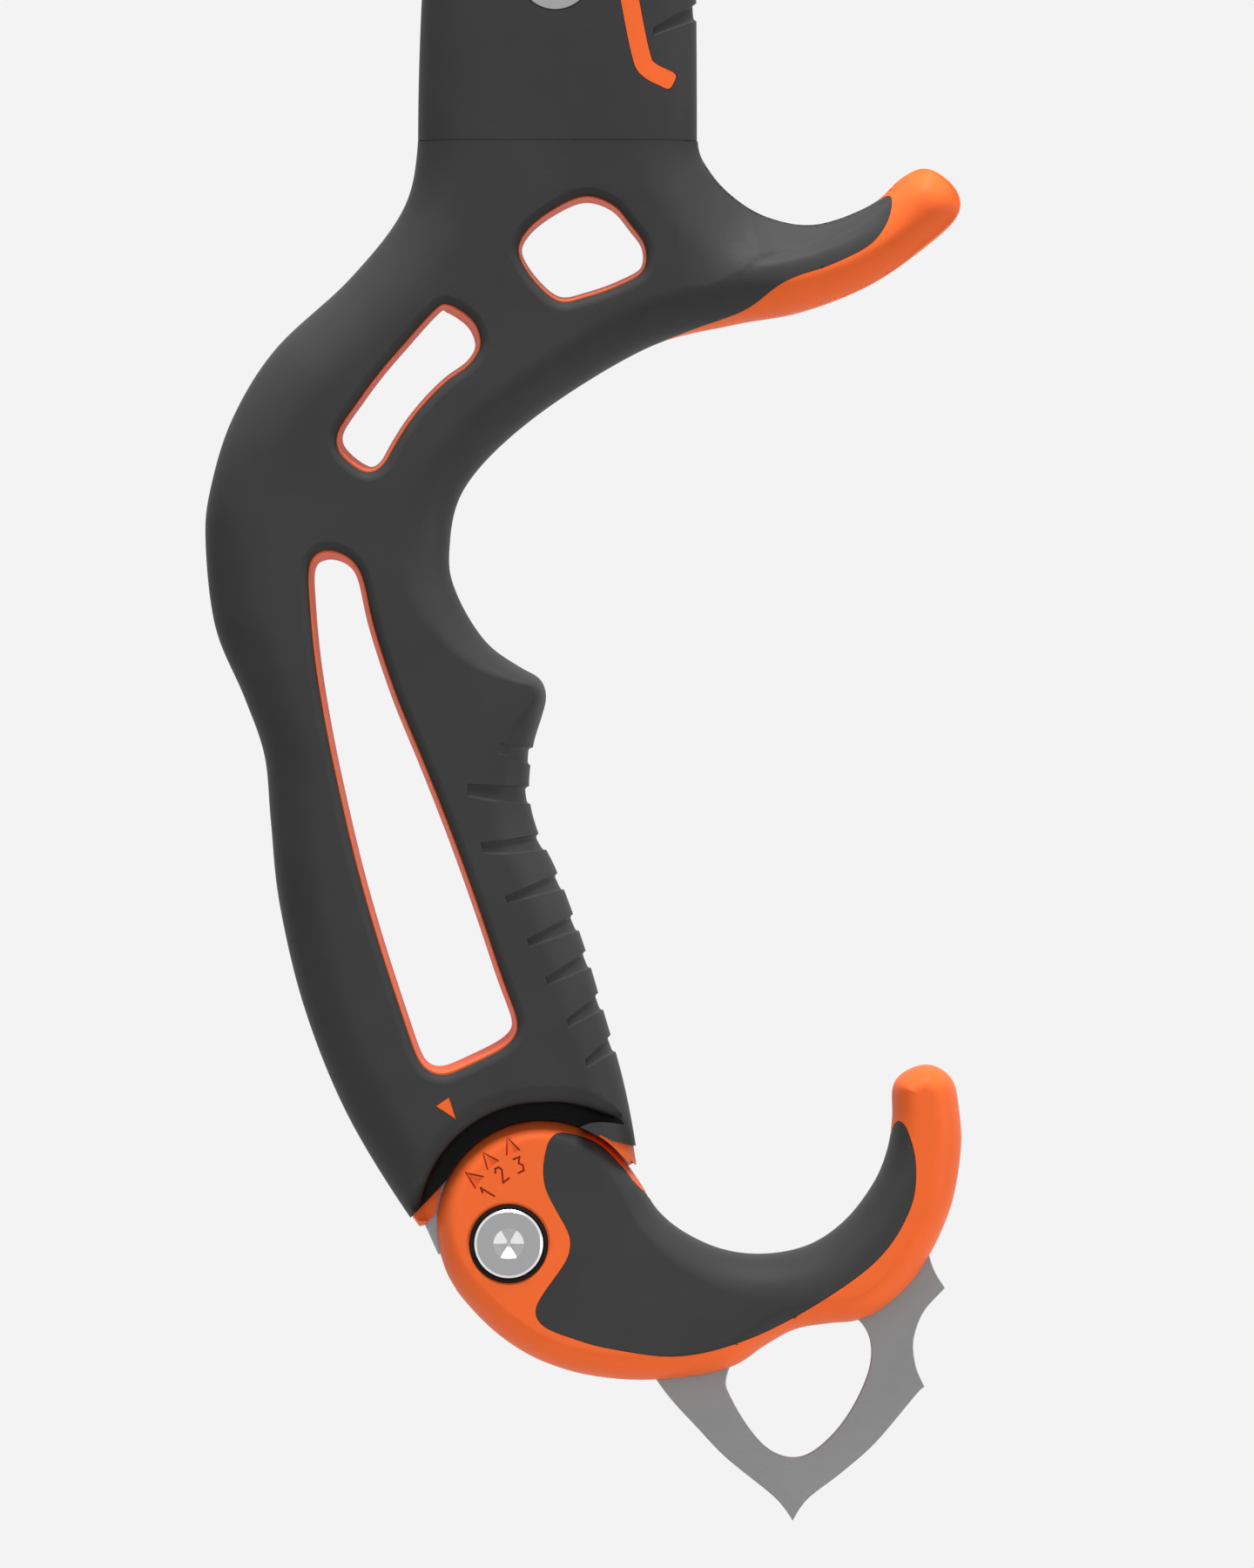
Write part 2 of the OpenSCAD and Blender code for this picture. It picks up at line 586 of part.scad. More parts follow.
module head() {
    color(steel) difference() {
        union() {
            difference() {
                plate(closed_curve(raised(head_line, shaft_top)), head_t);
                translate([-far, -far / 2, shaft_top - far]) cube([2 * far, far, far]);
            }
            head_tongue();
        }
        bar(eye_spot + [0, shaft_top], eye_r, -far / 2, far / 2);
        translate([-far, -pick_t / 2 - set_fit, shaft_top + slot_floor])
            cube([2 * far, pick_t + 2 * set_fit, far]);
        for (p = raised(concat(pick_bolts_at, [hammer_bolt_at]), shaft_top)) {
            bar(p, head_bolt_r + set_fit, -far / 2, far / 2);
            bar(p, head_bolt_af / sqrt(3) + recess_room, -far / 2, head_bolt_h - head_t / 2);
            bar(p, head_bolt_af / sqrt(3) + recess_room, head_t / 2 - head_bolt_h, far / 2);
        }
        for (p = raised(head_pins_at, shaft_top)) bar(p, head_pin_r + set_fit, -far / 2, far / 2);
    }
}

module head_pins() {
    color(silver) for (p = raised(head_pins_at, shaft_top))
        bar(p, head_pin_r, pin_wall - shaft_t_top / 2 + sleeve_t, shaft_t_top / 2 - sleeve_t - pin_wall);
}

// Pick: upper edge and toothed lower edge are two curves that meet at the tip
pick_top = [for (t = [0 : 1 / 16 : 1])
    bezier([pick_root, pick_lift], pick_top_bend[0], pick_top_bend[1], pick_tip, t)];
function pick_low(t) =
    bezier([pick_root, slot_floor + 1], pick_low_bend[0], pick_low_bend[1], pick_tip - [6, 1], t);
function tooth_out(t) = let (d = pick_low(t + 0.01) - pick_low(t - 0.01)) [d.y, -d.x] / norm(d) * tooth_depth;
teeth = [for (k = [tooth_count - 1 : -1 : 0]) let (t = 0.04 + 0.94 * k / tooth_count, step = 0.94 / tooth_count)
    each [pick_low(t + step), pick_low(t + step * 0.75) + tooth_out(t + step * 0.75), pick_low(t + step * 0.2)]];

module pick() {
    color(steel) translate([0, 0, shaft_top]) difference() {
        plate(concat([[pick_tail, slot_floor + set_fit], [pick_tail, pick_lift + 1], [pick_root - 8, pick_lift]],
            pick_top, teeth, [[pick_root, slot_floor + set_fit]]), pick_t);
        for (p = pick_bolts_at) bar(p, head_bolt_r + set_fit, -far / 2, far / 2);
    }
}

module hammer() {
    color(steel) translate([0, 0, shaft_top]) difference() {
        union() {
            plate(hammer_line, pick_t);
            plate(hammer_face_line, hammer_t);
        }
        bar(hammer_bolt_at, head_bolt_r + set_fit, -far / 2, far / 2);
    }
}

module head_bolts() {
    color(silver) for (p = raised(concat(pick_bolts_at, [hammer_bolt_at]), shaft_top)) {
        hex_bar(p, head_bolt_af, -head_t / 2, head_bolt_h - head_t / 2);
        bar(p, head_bolt_r, head_bolt_h - head_t / 2, head_t / 2 - thread_end);
    }
}

module head_nuts() {
    color(silver) for (p = raised(concat(pick_bolts_at, [hammer_bolt_at]), shaft_top))
        difference() {
            hex_bar(p, head_bolt_af, head_t / 2 - head_bolt_h, head_t / 2);
            bar(p, head_bolt_r + set_fit, -far / 2, far / 2);
        }
}

// Room between the shells for the tang at every setting, and for the spike
module tang_room() {
    half = tang_t / 2 + move_fit;
    bar(pivot, tang_disc_r + move_fit, -half, half);
    slab(sector(scoop_r * 2, neck_low_deg - adjust_deg, neck_high_deg + adjust_deg), -half, half);
}

// Oblong keys of a pad, from the middle plane out to y on one side
module keys(side, grow, y) {
    for (k = pad_keys) let (d = key_l / 2 * [cos(k[2]), sin(k[2])])
        hull() for (e = [-1, 1])
            bar([k.x, k.y] + e * d, key_r + grow, side < 0 ? -y : y - 2 * key_depth,
                side < 0 ? 2 * key_depth - y : y, $fn = 12);
}

module pommel_shell(side) {
    half = pommel_t / 2;
    difference() {
        intersection() {
            rounded_body(pommel_curve, half);
            half_space(side);
        }
        difference() {
            through(pad_curve);
            rounded_body(pommel_curve, half, pad_t);
        }
        keys(side, set_fit, half - pad_t + key_depth);
        tang_room();
        plate(inset(spike_line, -set_fit), spike_t + 2 * set_fit);
        for (p = spike_pins_at) bar(p, plate_pin_r + set_fit, -far / 2, far / 2);
        bar(pivot, pivot_r + set_fit, -pivot_half - set_fit, pivot_half + set_fit);
        bar(clamp_spot, bolt_r + run_fit, -far / 2, far / 2);
        if (side < 0)
            bar(clamp_spot, bolt_head_r + run_fit + ring_wall + set_fit, -far / 2, head_seat - half);
        else
            hex_bar(clamp_spot, nut_af + 2 * set_fit, half - nut_h, far / 2);
    }
}

module pommel_shell_left() { color(orange) pommel_shell(-1); }
module pommel_shell_right() { color(orange) pommel_shell(1); }

module pommel_pad(side) {
    half = pommel_t / 2;
    difference() {
        intersection() {
            rounded_body(pommel_curve, half);
            half_space(side);
            through(inset(pad_curve, set_fit));
        }
        rounded_body(pommel_curve, half, pad_t - set_fit);
        tang_room();
    }
    keys(side, 0, half - pad_t + key_depth);
}

module pommel_pad_left() { color(charcoal) pommel_pad(-1); }
module pommel_pad_right() { color(charcoal) pommel_pad(1); }

module spike() {
    color(steel) difference() {
        plate(spike_line, spike_t);
        through(closed_curve(clip_eye_line));
        for (p = spike_pins_at) bar(p, plate_pin_r + set_fit, -far / 2, far / 2);
    }
}

module spike_pins() {
    color(silver) for (p = spike_pins_at) bar(p, plate_pin_r, pin_cover - pommel_t / 2, pommel_t / 2 - pin_cover);
}

module pivot_pin() { color(silver) bar(pivot, pivot_r, -pivot_half, pivot_half); }

module clamp_bolt() {
    half = pommel_t / 2;
    color(silver) difference() {
        union() {
            bar(clamp_spot, bolt_head_r, head_seat - bolt_head_h - half, head_seat - half);
            bar(clamp_spot, bolt_r, head_seat - half, half - thread_end);
        }
        hex_bar(clamp_spot, bolt_socket, -far / 2, head_seat - half - socket_floor);
    }
}

module clamp_nut() {
    half = pommel_t / 2;
    color(silver) difference() {
        hex_bar(clamp_spot, nut_af, half - nut_h, half - nut_sunk);
        bar(clamp_spot, bolt_r + run_fit, -far / 2, far / 2);
    }
}

module bolt_ring() {
    half = pommel_t / 2;
    color(charcoal) difference() {
        bar(clamp_spot, bolt_head_r + run_fit + ring_wall, -half, head_seat - half);
        bar(clamp_spot, bolt_head_r + run_fit, -far / 2, far / 2);
    }
}

shaft();
shaft_bolt();
shaft_bolt_nut();
upper_grip();
stripe_inlays();
handle_core();
handle_skin();
position_pointers();
tang();
tang_pins();
head();
head_pins();
pick();
hammer();
head_bolts();
head_nuts();
pommel_shell_left();
pommel_shell_right();
pommel_pad_left();
pommel_pad_right();
spike();
spike_pins();
pivot_pin();
clamp_bolt();
clamp_nut();
bolt_ring();
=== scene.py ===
import bmesh
import bpy
import numpy as np
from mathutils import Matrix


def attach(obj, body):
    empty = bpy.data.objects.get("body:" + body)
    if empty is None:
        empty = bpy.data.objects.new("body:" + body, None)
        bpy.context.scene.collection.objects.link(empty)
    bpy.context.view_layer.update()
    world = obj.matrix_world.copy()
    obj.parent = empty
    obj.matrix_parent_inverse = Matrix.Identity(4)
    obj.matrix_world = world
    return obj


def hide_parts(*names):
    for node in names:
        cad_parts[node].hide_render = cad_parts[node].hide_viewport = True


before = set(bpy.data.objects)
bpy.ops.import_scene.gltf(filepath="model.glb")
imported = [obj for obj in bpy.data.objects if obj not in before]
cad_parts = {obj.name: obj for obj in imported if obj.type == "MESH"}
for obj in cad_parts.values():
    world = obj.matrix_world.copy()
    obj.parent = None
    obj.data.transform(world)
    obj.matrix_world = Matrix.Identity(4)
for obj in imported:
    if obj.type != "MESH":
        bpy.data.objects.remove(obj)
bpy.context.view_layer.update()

mm = 0.001
through = 20.0  # half length of a cutter that goes right through the tool
print("stage: frame loaded,", len(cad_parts), "nodes")


# Catmull-Rom cubics from b to c, with a and d as their outer neighbours, in steps even in t
def cubics(a, b, c, d, steps):
    a, b, c, d = (q[:, None, :] for q in (a, b, c, d))
    t = np.linspace(0, 1, steps, endpoint=False)[None, :, None]
    q = 0.5 * (2 * b + (c - a) * t + (2 * a - 5 * b + 4 * c - d) * t**2 + (3 * b - a - 3 * c + d) * t**3)
    return q.reshape(-1, q.shape[2])


# open cubics through all the points, whose end tangents run on straight
def openCubics(p, steps):
    q = np.vstack([2 * p[0] - p[1], p, 2 * p[-1] - p[-2]])
    return np.vstack([cubics(*(q[k:len(q) - 3 + k] for k in range(4)), steps), p[-1:]])


# a line read off at count places of even arc length; its last point is left out
def evenly(line, count):
    run = np.r_[0, np.cumsum(np.linalg.norm(np.diff(line[:, :2], axis=0), axis=1))]
    at = np.linspace(0, run[-1], count(run[-1]) if callable(count) else count, endpoint=False)
    return np.stack([np.interp(at, run, line[:, k]) for k in range(line.shape[1])], 1)


def blurred(loop, times):
    for _ in range(times):
        loop = (np.roll(loop, 1, 0) + 2 * loop + np.roll(loop, -1, 0)) / 4
    return loop


# closed curve: cubics between neighbouring points, read off at even arc length, then blurred a little
def closedCurve(points, count, blur=2):
    p = np.array(points, float)
    loop = cubics(*(np.roll(p, k, 0) for k in (1, 0, -1, -2)), 24)
    return blurred(evenly(np.vstack([loop, loop[:1]]), count), blur)


# straight-sided outline: points at even steps along each edge, so that corners stay
def brokenLine(points, step):
    p = np.array(points, float)
    q = np.roll(p, -1, 0)
    counts = np.maximum(1, np.ceil(np.linalg.norm(q - p, axis=1) / step).astype(int))
    return np.concatenate([a + (b - a) * np.linspace(0, 1, n, endpoint=False)[:, None]
                           for a, b, n in zip(p, q, counts)])


# twice the area that an outline goes round, positive where it runs counter-clockwise
def turnsLeft(points):
    p = np.array(points, float)
    q = np.roll(p, -1, 0)
    return float((p[:, 0] * q[:, 1] - q[:, 0] * p[:, 1]).sum())


def counterClockwise(points):
    p = np.array(points, float)
    return p if turnsLeft(p) > 0 else p[::-1]


# outward direction of a counter-clockwise curve: its tangent turned a quarter clockwise
def outward(curve):
    s = np.roll(curve, -1, 0)[:, :2] - np.roll(curve, 1, 0)[:, :2]
    n = np.stack([s[:, 1], -s[:, 0]], 1)
    return n / np.maximum(np.linalg.norm(n, axis=1, keepdims=True), 1e-9)


def offsetCurve(curve, d):
    return curve[:, :2] + outward(curve) * (d[:, None] if np.ndim(d) else d)


# largest edge rounding a convex bend can carry: 0.85 of its radius, spread to the points beside it
def easedEdge(curve, edge):
    n = outward(curve)
    turn = np.roll(n, -1, 0) - np.roll(n, 1, 0)
    along = np.roll(curve, -1, 0)[:, :2] - np.roll(curve, 1, 0)[:, :2]
    bend = (turn * along).sum(1) / np.maximum((along**2).sum(1), 1e-9)
    held = np.minimum(edge, 0.85 / np.maximum(bend, 1e-3))
    for k in (1, 2, 4):
        held = np.minimum(held, (np.roll(held, k) + np.roll(held, -k)) / 2 + 0.4 * k)
    return blurred(held, 12)


# stack of closed rings: sides are quads, ends are flat caps
def ringStack(rings):
    count = len(rings[0])
    levels = len(rings)
    verts = np.concatenate(rings)
    i = np.arange(count)
    j = (i + 1) % count
    low = np.arange(levels - 1)[:, None] * count
    quads = np.stack([low + i, low + j, low + j + count, low + i + count], -1).reshape(-1, 4)
    caps = [np.arange(count)[::-1], np.arange(count) + (levels - 1) * count]
    return verts * mm, quads, caps


def lifted(curve2, y):
    return np.stack([curve2[:, 0], np.broadcast_to(y, len(curve2)), curve2[:, 1]], 1)


# moulded body: edge is a half ellipse, inset e (1 - cos a) and height T sin a for a from -90 to 90 degrees
def roundedBody(curve, edge, half, depth, rings, leastEdge=0.6):
    e = np.maximum(edge - depth, leastEdge)
    a = np.radians(np.linspace(-90, 90, rings))
    return ringStack([lifted(offsetCurve(curve, -depth - e * (1 - np.cos(v))), (half - depth) * np.sin(v)) for v in a])


# straight prism of an outline between two heights
def prism(curve, y0, y1):
    return ringStack([lifted(curve[:, :2], y0), lifted(curve[:, :2], y1)])


# the same rings on both sides of the middle plane: outlines with their heights, from the middle outwards
def mirroredStack(upper):
    return ringStack([lifted(p, -y) for p, y in upper[::-1]] + [lifted(p, y) for p, y in upper])


# plate with a quarter-round rim: inset r (1 - cos a), height half - r (1 - sin a)
def rimmedPlate(curve, half, rim, steps=4):
    a = np.radians(np.linspace(0, 90, steps))
    return mirroredStack([(offsetCurve(curve, -rim * (1 - np.cos(v))), half - rim * (1 - np.sin(v))) for v in a])


# turned piece about an axis along y: radius and height pairs carried round the spot
def turned(spot, profile, count=96):
    return ringStack([lifted(circle(spot, r, count), y) for r, y in profile])


# straight round hole that goes right through
def bore(spot, r, count=48, reach=through):
    return turned(spot, [(r, -reach), (r, reach)], count)


def circle(spot, r, count=96):
    a = np.linspace(0, 2 * np.pi, count, endpoint=False)
    return np.array(spot) + np.stack([np.cos(a), np.sin(a)], 1) * r


def hexagon(spot, acrossFlats, turn=0.0):
    a = np.radians(np.arange(6) * 60 + turn)
    return np.array(spot) + np.stack([np.cos(a), np.sin(a)], 1) * acrossFlats / np.sqrt(3)


def meshObject(name, shape):
    verts, quads, caps = shape
    mesh = bpy.data.meshes.new(name)
    mesh.from_pydata(verts.tolist(), [], quads.tolist() + [c.tolist() for c in caps])
    obj = bpy.data.objects.new(name, mesh)
    bpy.context.scene.collection.objects.link(obj)
    return obj


# closed mesh of one or more ring stacks, with its faces turned outwards
def solid(name, *shapes):
    made = []
    for k, shape in enumerate(shapes):
        obj = meshObject(name if k == 0 else name + "Add", shape)
        bm = bmesh.new()
        bm.from_mesh(obj.data)
        bmesh.ops.recalc_face_normals(bm, faces=bm.faces)
        bmesh.ops.triangulate(bm, faces=bm.faces)
        bm.to_mesh(obj.data)
        bm.free()
        made.append(obj)
    for extra in made[1:]:
        combine(made[0], extra, "UNION")
    return made[0]


# one boolean step, applied at once; the tool object is taken away
def combine(obj, tool, operation):
    step = obj.modifiers.new("cut", "BOOLEAN")
    step.operation = operation
    step.solver = "MANIFOLD"
    step.object = tool
    shapeNow = bpy.data.meshes.new_from_object(obj.evaluated_get(bpy.context.evaluated_depsgraph_get()))
    obj.modifiers.clear()
    old = obj.data
    shapeNow.name = obj.name
    obj.data = shapeNow
    spent = tool.data
    bpy.data.objects.remove(tool)
    for mesh in (old, spent):
        bpy.data.meshes.remove(mesh)
    return obj


def cut(obj, *shapes):
    for shape in shapes:
        combine(obj, solid("tool", shape), "DIFFERENCE")
    return obj


# the part of a body that lies inside another shape
def keepInside(obj, shape):
    return combine(obj, solid("tool", shape), "INTERSECT")


# finished mesh: doubles merged, slivers dissolved, smooth faces with edges kept sharp past an angle
def finishMesh(obj, sharpAngle, weld=0.00002, flatWeight=60):
    bm = bmesh.new()
    bm.from_mesh(obj.data)
    bmesh.ops.remove_doubles(bm, verts=bm.verts, dist=weld)
    bmesh.ops.dissolve_degenerate(bm, edges=bm.edges, dist=weld)
    bmesh.ops.triangulate(bm, faces=[f for f in bm.faces if len(f.verts) > 4])
    bm.to_mesh(obj.data)
    bm.free()
    obj.data.shade_smooth()
    obj.data.set_sharp_from_angle(angle=np.radians(sharpAngle))
    weigh = obj.modifiers.new("weighted", "WEIGHTED_NORMAL")
    weigh.keep_sharp = True
    weigh.weight = flatWeight


def finishPiece(obj, body, material, node, sharpAngle=34.0):
    finishMesh(obj, sharpAngle)
    obj.data.materials.clear()
    obj.data.materials.append(material)
    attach(obj, body)
    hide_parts(node)
    print("piece:", obj.name, len(obj.data.polygons), "faces")


# one socket of a node tree; sums and products of sockets add Math nodes
class Wire:
    def __init__(self, tree, socket):
        self.tree = tree
        self.socket = socket

    def node(self, kind, settings=None, inputs=None, out=0):
        made = self.tree.nodes.new(kind)
        for key, value in (settings or {}).items():
            setattr(made, key, value)
        for key, value in (inputs or {}).items():
            if isinstance(value, Wire):
                self.tree.links.new(value.socket, made.inputs[key])
            else:
                made.inputs[key].default_value = value
        return Wire(self.tree, made.outputs[out])

    def maths(self, operation, first, second=None):
        values = {0: first} if second is None else {0: first, 1: second}
        return self.node("ShaderNodeMath", {"operation": operation}, values)

    def __add__(self, other): return self.maths("ADD", self, other)
    def __radd__(self, other): return self.maths("ADD", other, self)
    def __sub__(self, other): return self.maths("SUBTRACT", self, other)
    def __rsub__(self, other): return self.maths("SUBTRACT", other, self)
    def __mul__(self, other): return self.maths("MULTIPLY", self, other)
    def __rmul__(self, other): return self.maths("MULTIPLY", other, self)
    def __truediv__(self, other): return self.maths("DIVIDE", self, other)
    def __rtruediv__(self, other): return self.maths("DIVIDE", other, self)
    def __pow__(self, other): return self.maths("POWER", self, other)

    def span(self, low, high, fromLow=0.0, fromHigh=1.0):
        return self.node("ShaderNodeMapRange", {}, {"Value": self, "From Min": fromLow, "From Max": fromHigh,
                                                    "To Min": low, "To Max": high})

    def blend(self, first, second):
        return self.node("ShaderNodeMix", {"data_type": "RGBA"}, {0: self, 6: first, 7: second}, 2)

    # x, y and z of a vector
    def parts(self):
        return [self.node("ShaderNodeSeparateXYZ", {}, {"Vector": self}, k) for k in range(3)]


# new material: its shader node, and a wire of object coordinates to build patterns on
def startMaterial(name, constants):
    material = bpy.data.materials.new(name)
    material.use_nodes = True
    shader = material.node_tree.nodes["Principled BSDF"]
    for key, value in constants.items():
        shader.inputs[key].default_value = value
    place = Wire(material.node_tree, None).node("ShaderNodeTexCoord", out=3)
    return material, shader, place


def feed(shader, wires):
    for key, wire in wires.items():
        wire.tree.links.new(wire.socket, shader.inputs[key])


def noise(place, scale, detail=2.0, rough=0.5, squeeze=None):
    if squeeze:
        place = place.node("ShaderNodeMapping", {}, {"Vector": place, "Scale": squeeze})
    return place.node("ShaderNodeTexNoise", {}, {"Vector": place, "Scale": scale, "Detail": detail, "Roughness": rough})


def bump(height, distance, strength):
    return height.node("ShaderNodeBump", {}, {"Height": height, "Distance": distance, "Strength": strength})


# share of the way through a noise's usual range
def spreadOut(pattern):
    return pattern.span(0, 1, 0.3, 0.7)


# distance from an axis along y, with the offsets across and up from it
def axisRadius(place, spot):
    x, _, z = place.parts()
    across, height = x - spot[0] * mm, z - spot[1] * mm
    return (across * across + height * height)**0.5, across, height


def grey(v):
    return (v, v, v, 1.0)


def tint(colour, factor):
    return tuple(min(1.0, c * factor) for c in colour) + (1.0,)


softGripLook = dict(colour=(0.05, 0.05, 0.0503), rough=0.46, grain=2600.0, cloud=55.0, gloss=0.03)


# soft grip: nearly black rubber, fine spark-eroded grain, faint cloudiness in colour and gloss, and where a recess is
# given, painted shade in it
def softGripMaterial(name, recess=None):
    look = softGripLook
    material, shader, place = startMaterial(name, {"Specular IOR Level": look["gloss"]})
    cloud = noise(place, look["cloud"], 3.0)
    grain = noise(place, look["grain"], 2.0, 0.6)
    colour = spreadOut(cloud).blend(tint(look["colour"], 0.93), tint(look["colour"], 1.08))
    if recess is not None:  # painted shade in the recess: the rubber darker by radius from the spot and by depth under the side
        depth = place.maths("ABSOLUTE", place.parts()[1])
        paintedShadeShare = axisRadius(place, recess["spot"])[0].span(1, 0, *recess["rim"]) * depth.span(1, 0, *recess["deep"])
        colour = paintedShadeShare.blend(colour, tint(look["colour"], recess["shade"]))
    feed(shader, {"Base Color": colour, "Roughness": cloud.span(look["rough"] - 0.03, look["rough"] + 0.04)
                  + grain.span(-0.03, 0.03), "Normal": bump(grain, 0.00005, 0.35)})
    return material


coreOrangeLook = dict(colour=(0.91, 0.150, 0.034), rough=0.44, grain=1800.0, cloud=35.0, gloss=0.05)


# core orange: glass-filled moulded plastic, satin, with faint flow clouds and a fine texture
def coreOrangeMaterial():
    look = coreOrangeLook
    material, shader, place = startMaterial("coreOrange", {"Specular IOR Level": look["gloss"]})
    cloud = noise(place, look["cloud"], 3.0)
    grain = noise(place, look["grain"], 2.0, 0.55)
    colour = spreadOut(cloud).blend(tint(look["colour"], 0.96), tint(look["colour"], 1.04))
    feed(shader, {"Base Color": colour, "Roughness": cloud.span(look["rough"] - 0.03, look["rough"] + 0.03)
                  + grain.span(-0.02, 0.02), "Normal": bump(grain, 0.00004, 0.3)})
    return material


metalLook = dict(scratch=420.0, blot=70.0)


# metal: base grey, scratches drawn out along one axis, blotches and fine pitting
def metalMaterial(name, colour, rough, along=(1, 1, 1), pit=900.0, metallic=1.0, spread=0.06, relief=0.00002,
                  gloss=0.5):
    material, shader, place = startMaterial(name, {"Metallic": metallic, "Specular IOR Level": gloss})
    line = noise(place, metalLook["scratch"], 3.0, 0.65, along)
    blot = noise(place, metalLook["blot"], 4.0, 0.55)
    pits = noise(place, pit, 2.0, 0.6)
    share = spreadOut(line * 0.5 + blot * 0.5)
    feed(shader, {"Base Color": share.blend(tint(colour, 1 - spread), tint(colour, 1 + spread)),
                  "Roughness": blot.span(rough - 0.05, rough + 0.05) + line.span(-0.05, 0.05),
                  "Normal": bump(line * 0.6 + pits * 0.4, relief, 0.5)})
    return material


turnedFaceLook = dict(face=(0.40, 0.40, 0.405), polishedAndGlint=(0.86, 0.86, 0.87), rough=0.3, polishedRough=0.16,
                      rim=0.00612, socket=0.0029, lathe=26000.0, fine=900.0)


# turned bolt: rings of the lathe around its axis, with a polished rim where the radius says so, and a painted glint on
# three of the six flats inside the socket's radius
def turnedFaceMaterial(spot):
    look = turnedFaceLook
    material, shader, place = startMaterial("turnedFace", {"Metallic": 1.0, "Specular IOR Level": 0.5})
    radius, across, height = axisRadius(place, spot)
    paintedFacetGlint = radius.maths("SINE", radius.maths("ARCTAN2", height, across) * 3.0)  # painted glint: three flats bright, three dull, by the angle round the axis
    # the painted glint takes all within the socket's radius, so the bolt's flat end at the back shows it too
    inSocket = radius.maths("LESS_THAN", radius, look["socket"])
    bright = radius.maths("GREATER_THAN", radius, look["rim"]) + inSocket * paintedFacetGlint.span(0.15, 1.0, -0.1, 0.1)
    lathe = radius.maths("SINE", radius * look["lathe"])
    fine = noise(place, look["fine"])
    feed(shader, {"Base Color": bright.blend((*look["face"], 1.0), (*look["polishedAndGlint"], 1.0)),
                  "Roughness": bright.span(look["rough"], look["polishedRough"]) + fine.span(-0.03, 0.03),
                  "Normal": bump(lathe * 0.5 + fine * 0.5, 0.000004, 0.4)})
    return material


softGrip = softGripMaterial("softGrip")
coreOrange = coreOrangeMaterial()
bladeSteel = metalMaterial("bladeSteel", (0.285, 0.285, 0.287), 0.5, (1, 1, 6))
tangSteel = metalMaterial("tangSteel", (0.30, 0.34, 0.37), 0.42, (5, 1, 1), metallic=0.85)
boltMetal = metalMaterial("brightFastener", (0.40, 0.40, 0.405), 0.3, spread=0.04)
shaftMetal = metalMaterial("shaftMetal", (0.052, 0.054, 0.058), 0.36, (14, 14, 1), metallic=0.9)
headMetal = metalMaterial("headMetal", (0.20, 0.20, 0.205), 0.44, pit=500.0, spread=0.12, relief=0.00006)
ringDark = metalMaterial("ringDark", (0.014, 0.009, 0.007), 0.6, metallic=0.0, gloss=0.1)
print("stage: materials made")


pommelCentre = np.array([22.7, -61.3])
discRadius = 20.2
handleCutRadius = 20.45


# point at a radius and an angle from the pommel's centre
def around(r, degrees):
    a = np.radians(degrees)
    return [pommelCentre[0] + r * np.cos(a), pommelCentre[1] + r * np.sin(a)]


# lines of points hold x, z and, as a third number, the width of the edge rounding there
handle = dict(half=13.0, skin=1.8, seam=146.0, samples=760, lipSunk=0.45, groove=0.8, grooveWidth=3.4, grooveFade=0.35,
              firstFade=0.95, windowRound=2.1, gap=0.05, bedGap=0.06, pointerDeep=0.6, skinLip=-0.08, coreLip=0.1,
              roomHalf=4.6, roomStep=0.02, lipDeep=7.0, scoopLining=1.8)
handleLine = [
    [-1, 162, 13], [-1, 146, 13], [-3.8, 133, 13], [-14, 119.7, 13],
    [-28.2, 106.3, 13], [-36.5, 93, 13], [-40.7, 79.7, 13], [-41.7, 69.5, 13],
    [-39.8, 53, 12], [-34.3, 39.7, 11], [-30.4, 28.5, 10], [-29.2, 16, 10],
    [-27.5, 0, 10], [-22.7, -20, 10], [-14.5, -40.3, 10], [*around(25.2, 177), 8],
    [5, -68.5, 8], [14, -75, 8], [28, -76, 8], [39, -70, 8],
    [*around(19.4, 9.8), 7], [*around(23.1, 38.3), 6], [38.3, -33.7, 7], [34.5, -20.3, 8], [30.5, -7, 8],
    [25.6, 6.3, 8], [22.1, 13.5, 8], [20.3, 21, 8],
    [21, 30, 6], [22.8, 36.2, 3.5], [23.6, 39.8, 2], [22.4, 43.2, 2],
    [18.5, 45.4, 3.5], [12, 50.2, 6], [6.6, 59, 9], [5, 67, 10],
    [8, 79.7, 10], [21.2, 93, 9], [42.7, 106.3, 9], [59, 110.7, 8.5],
    [72.3, 113.2, 6.5], [85.7, 118.5, 6], [97, 126.4, 5], [102.5, 132, 4.5],
    [101.9, 137, 4.5], [96.6, 140.8, 4], [91.6, 139, 4], [85.7, 133.8, 6],
    [75, 130, 8.5], [65.7, 131.5, 10], [59, 135.6, 12.5], [54.6, 140.6, 13],
    [52.5, 146, 13], [52.4, 162, 13]]
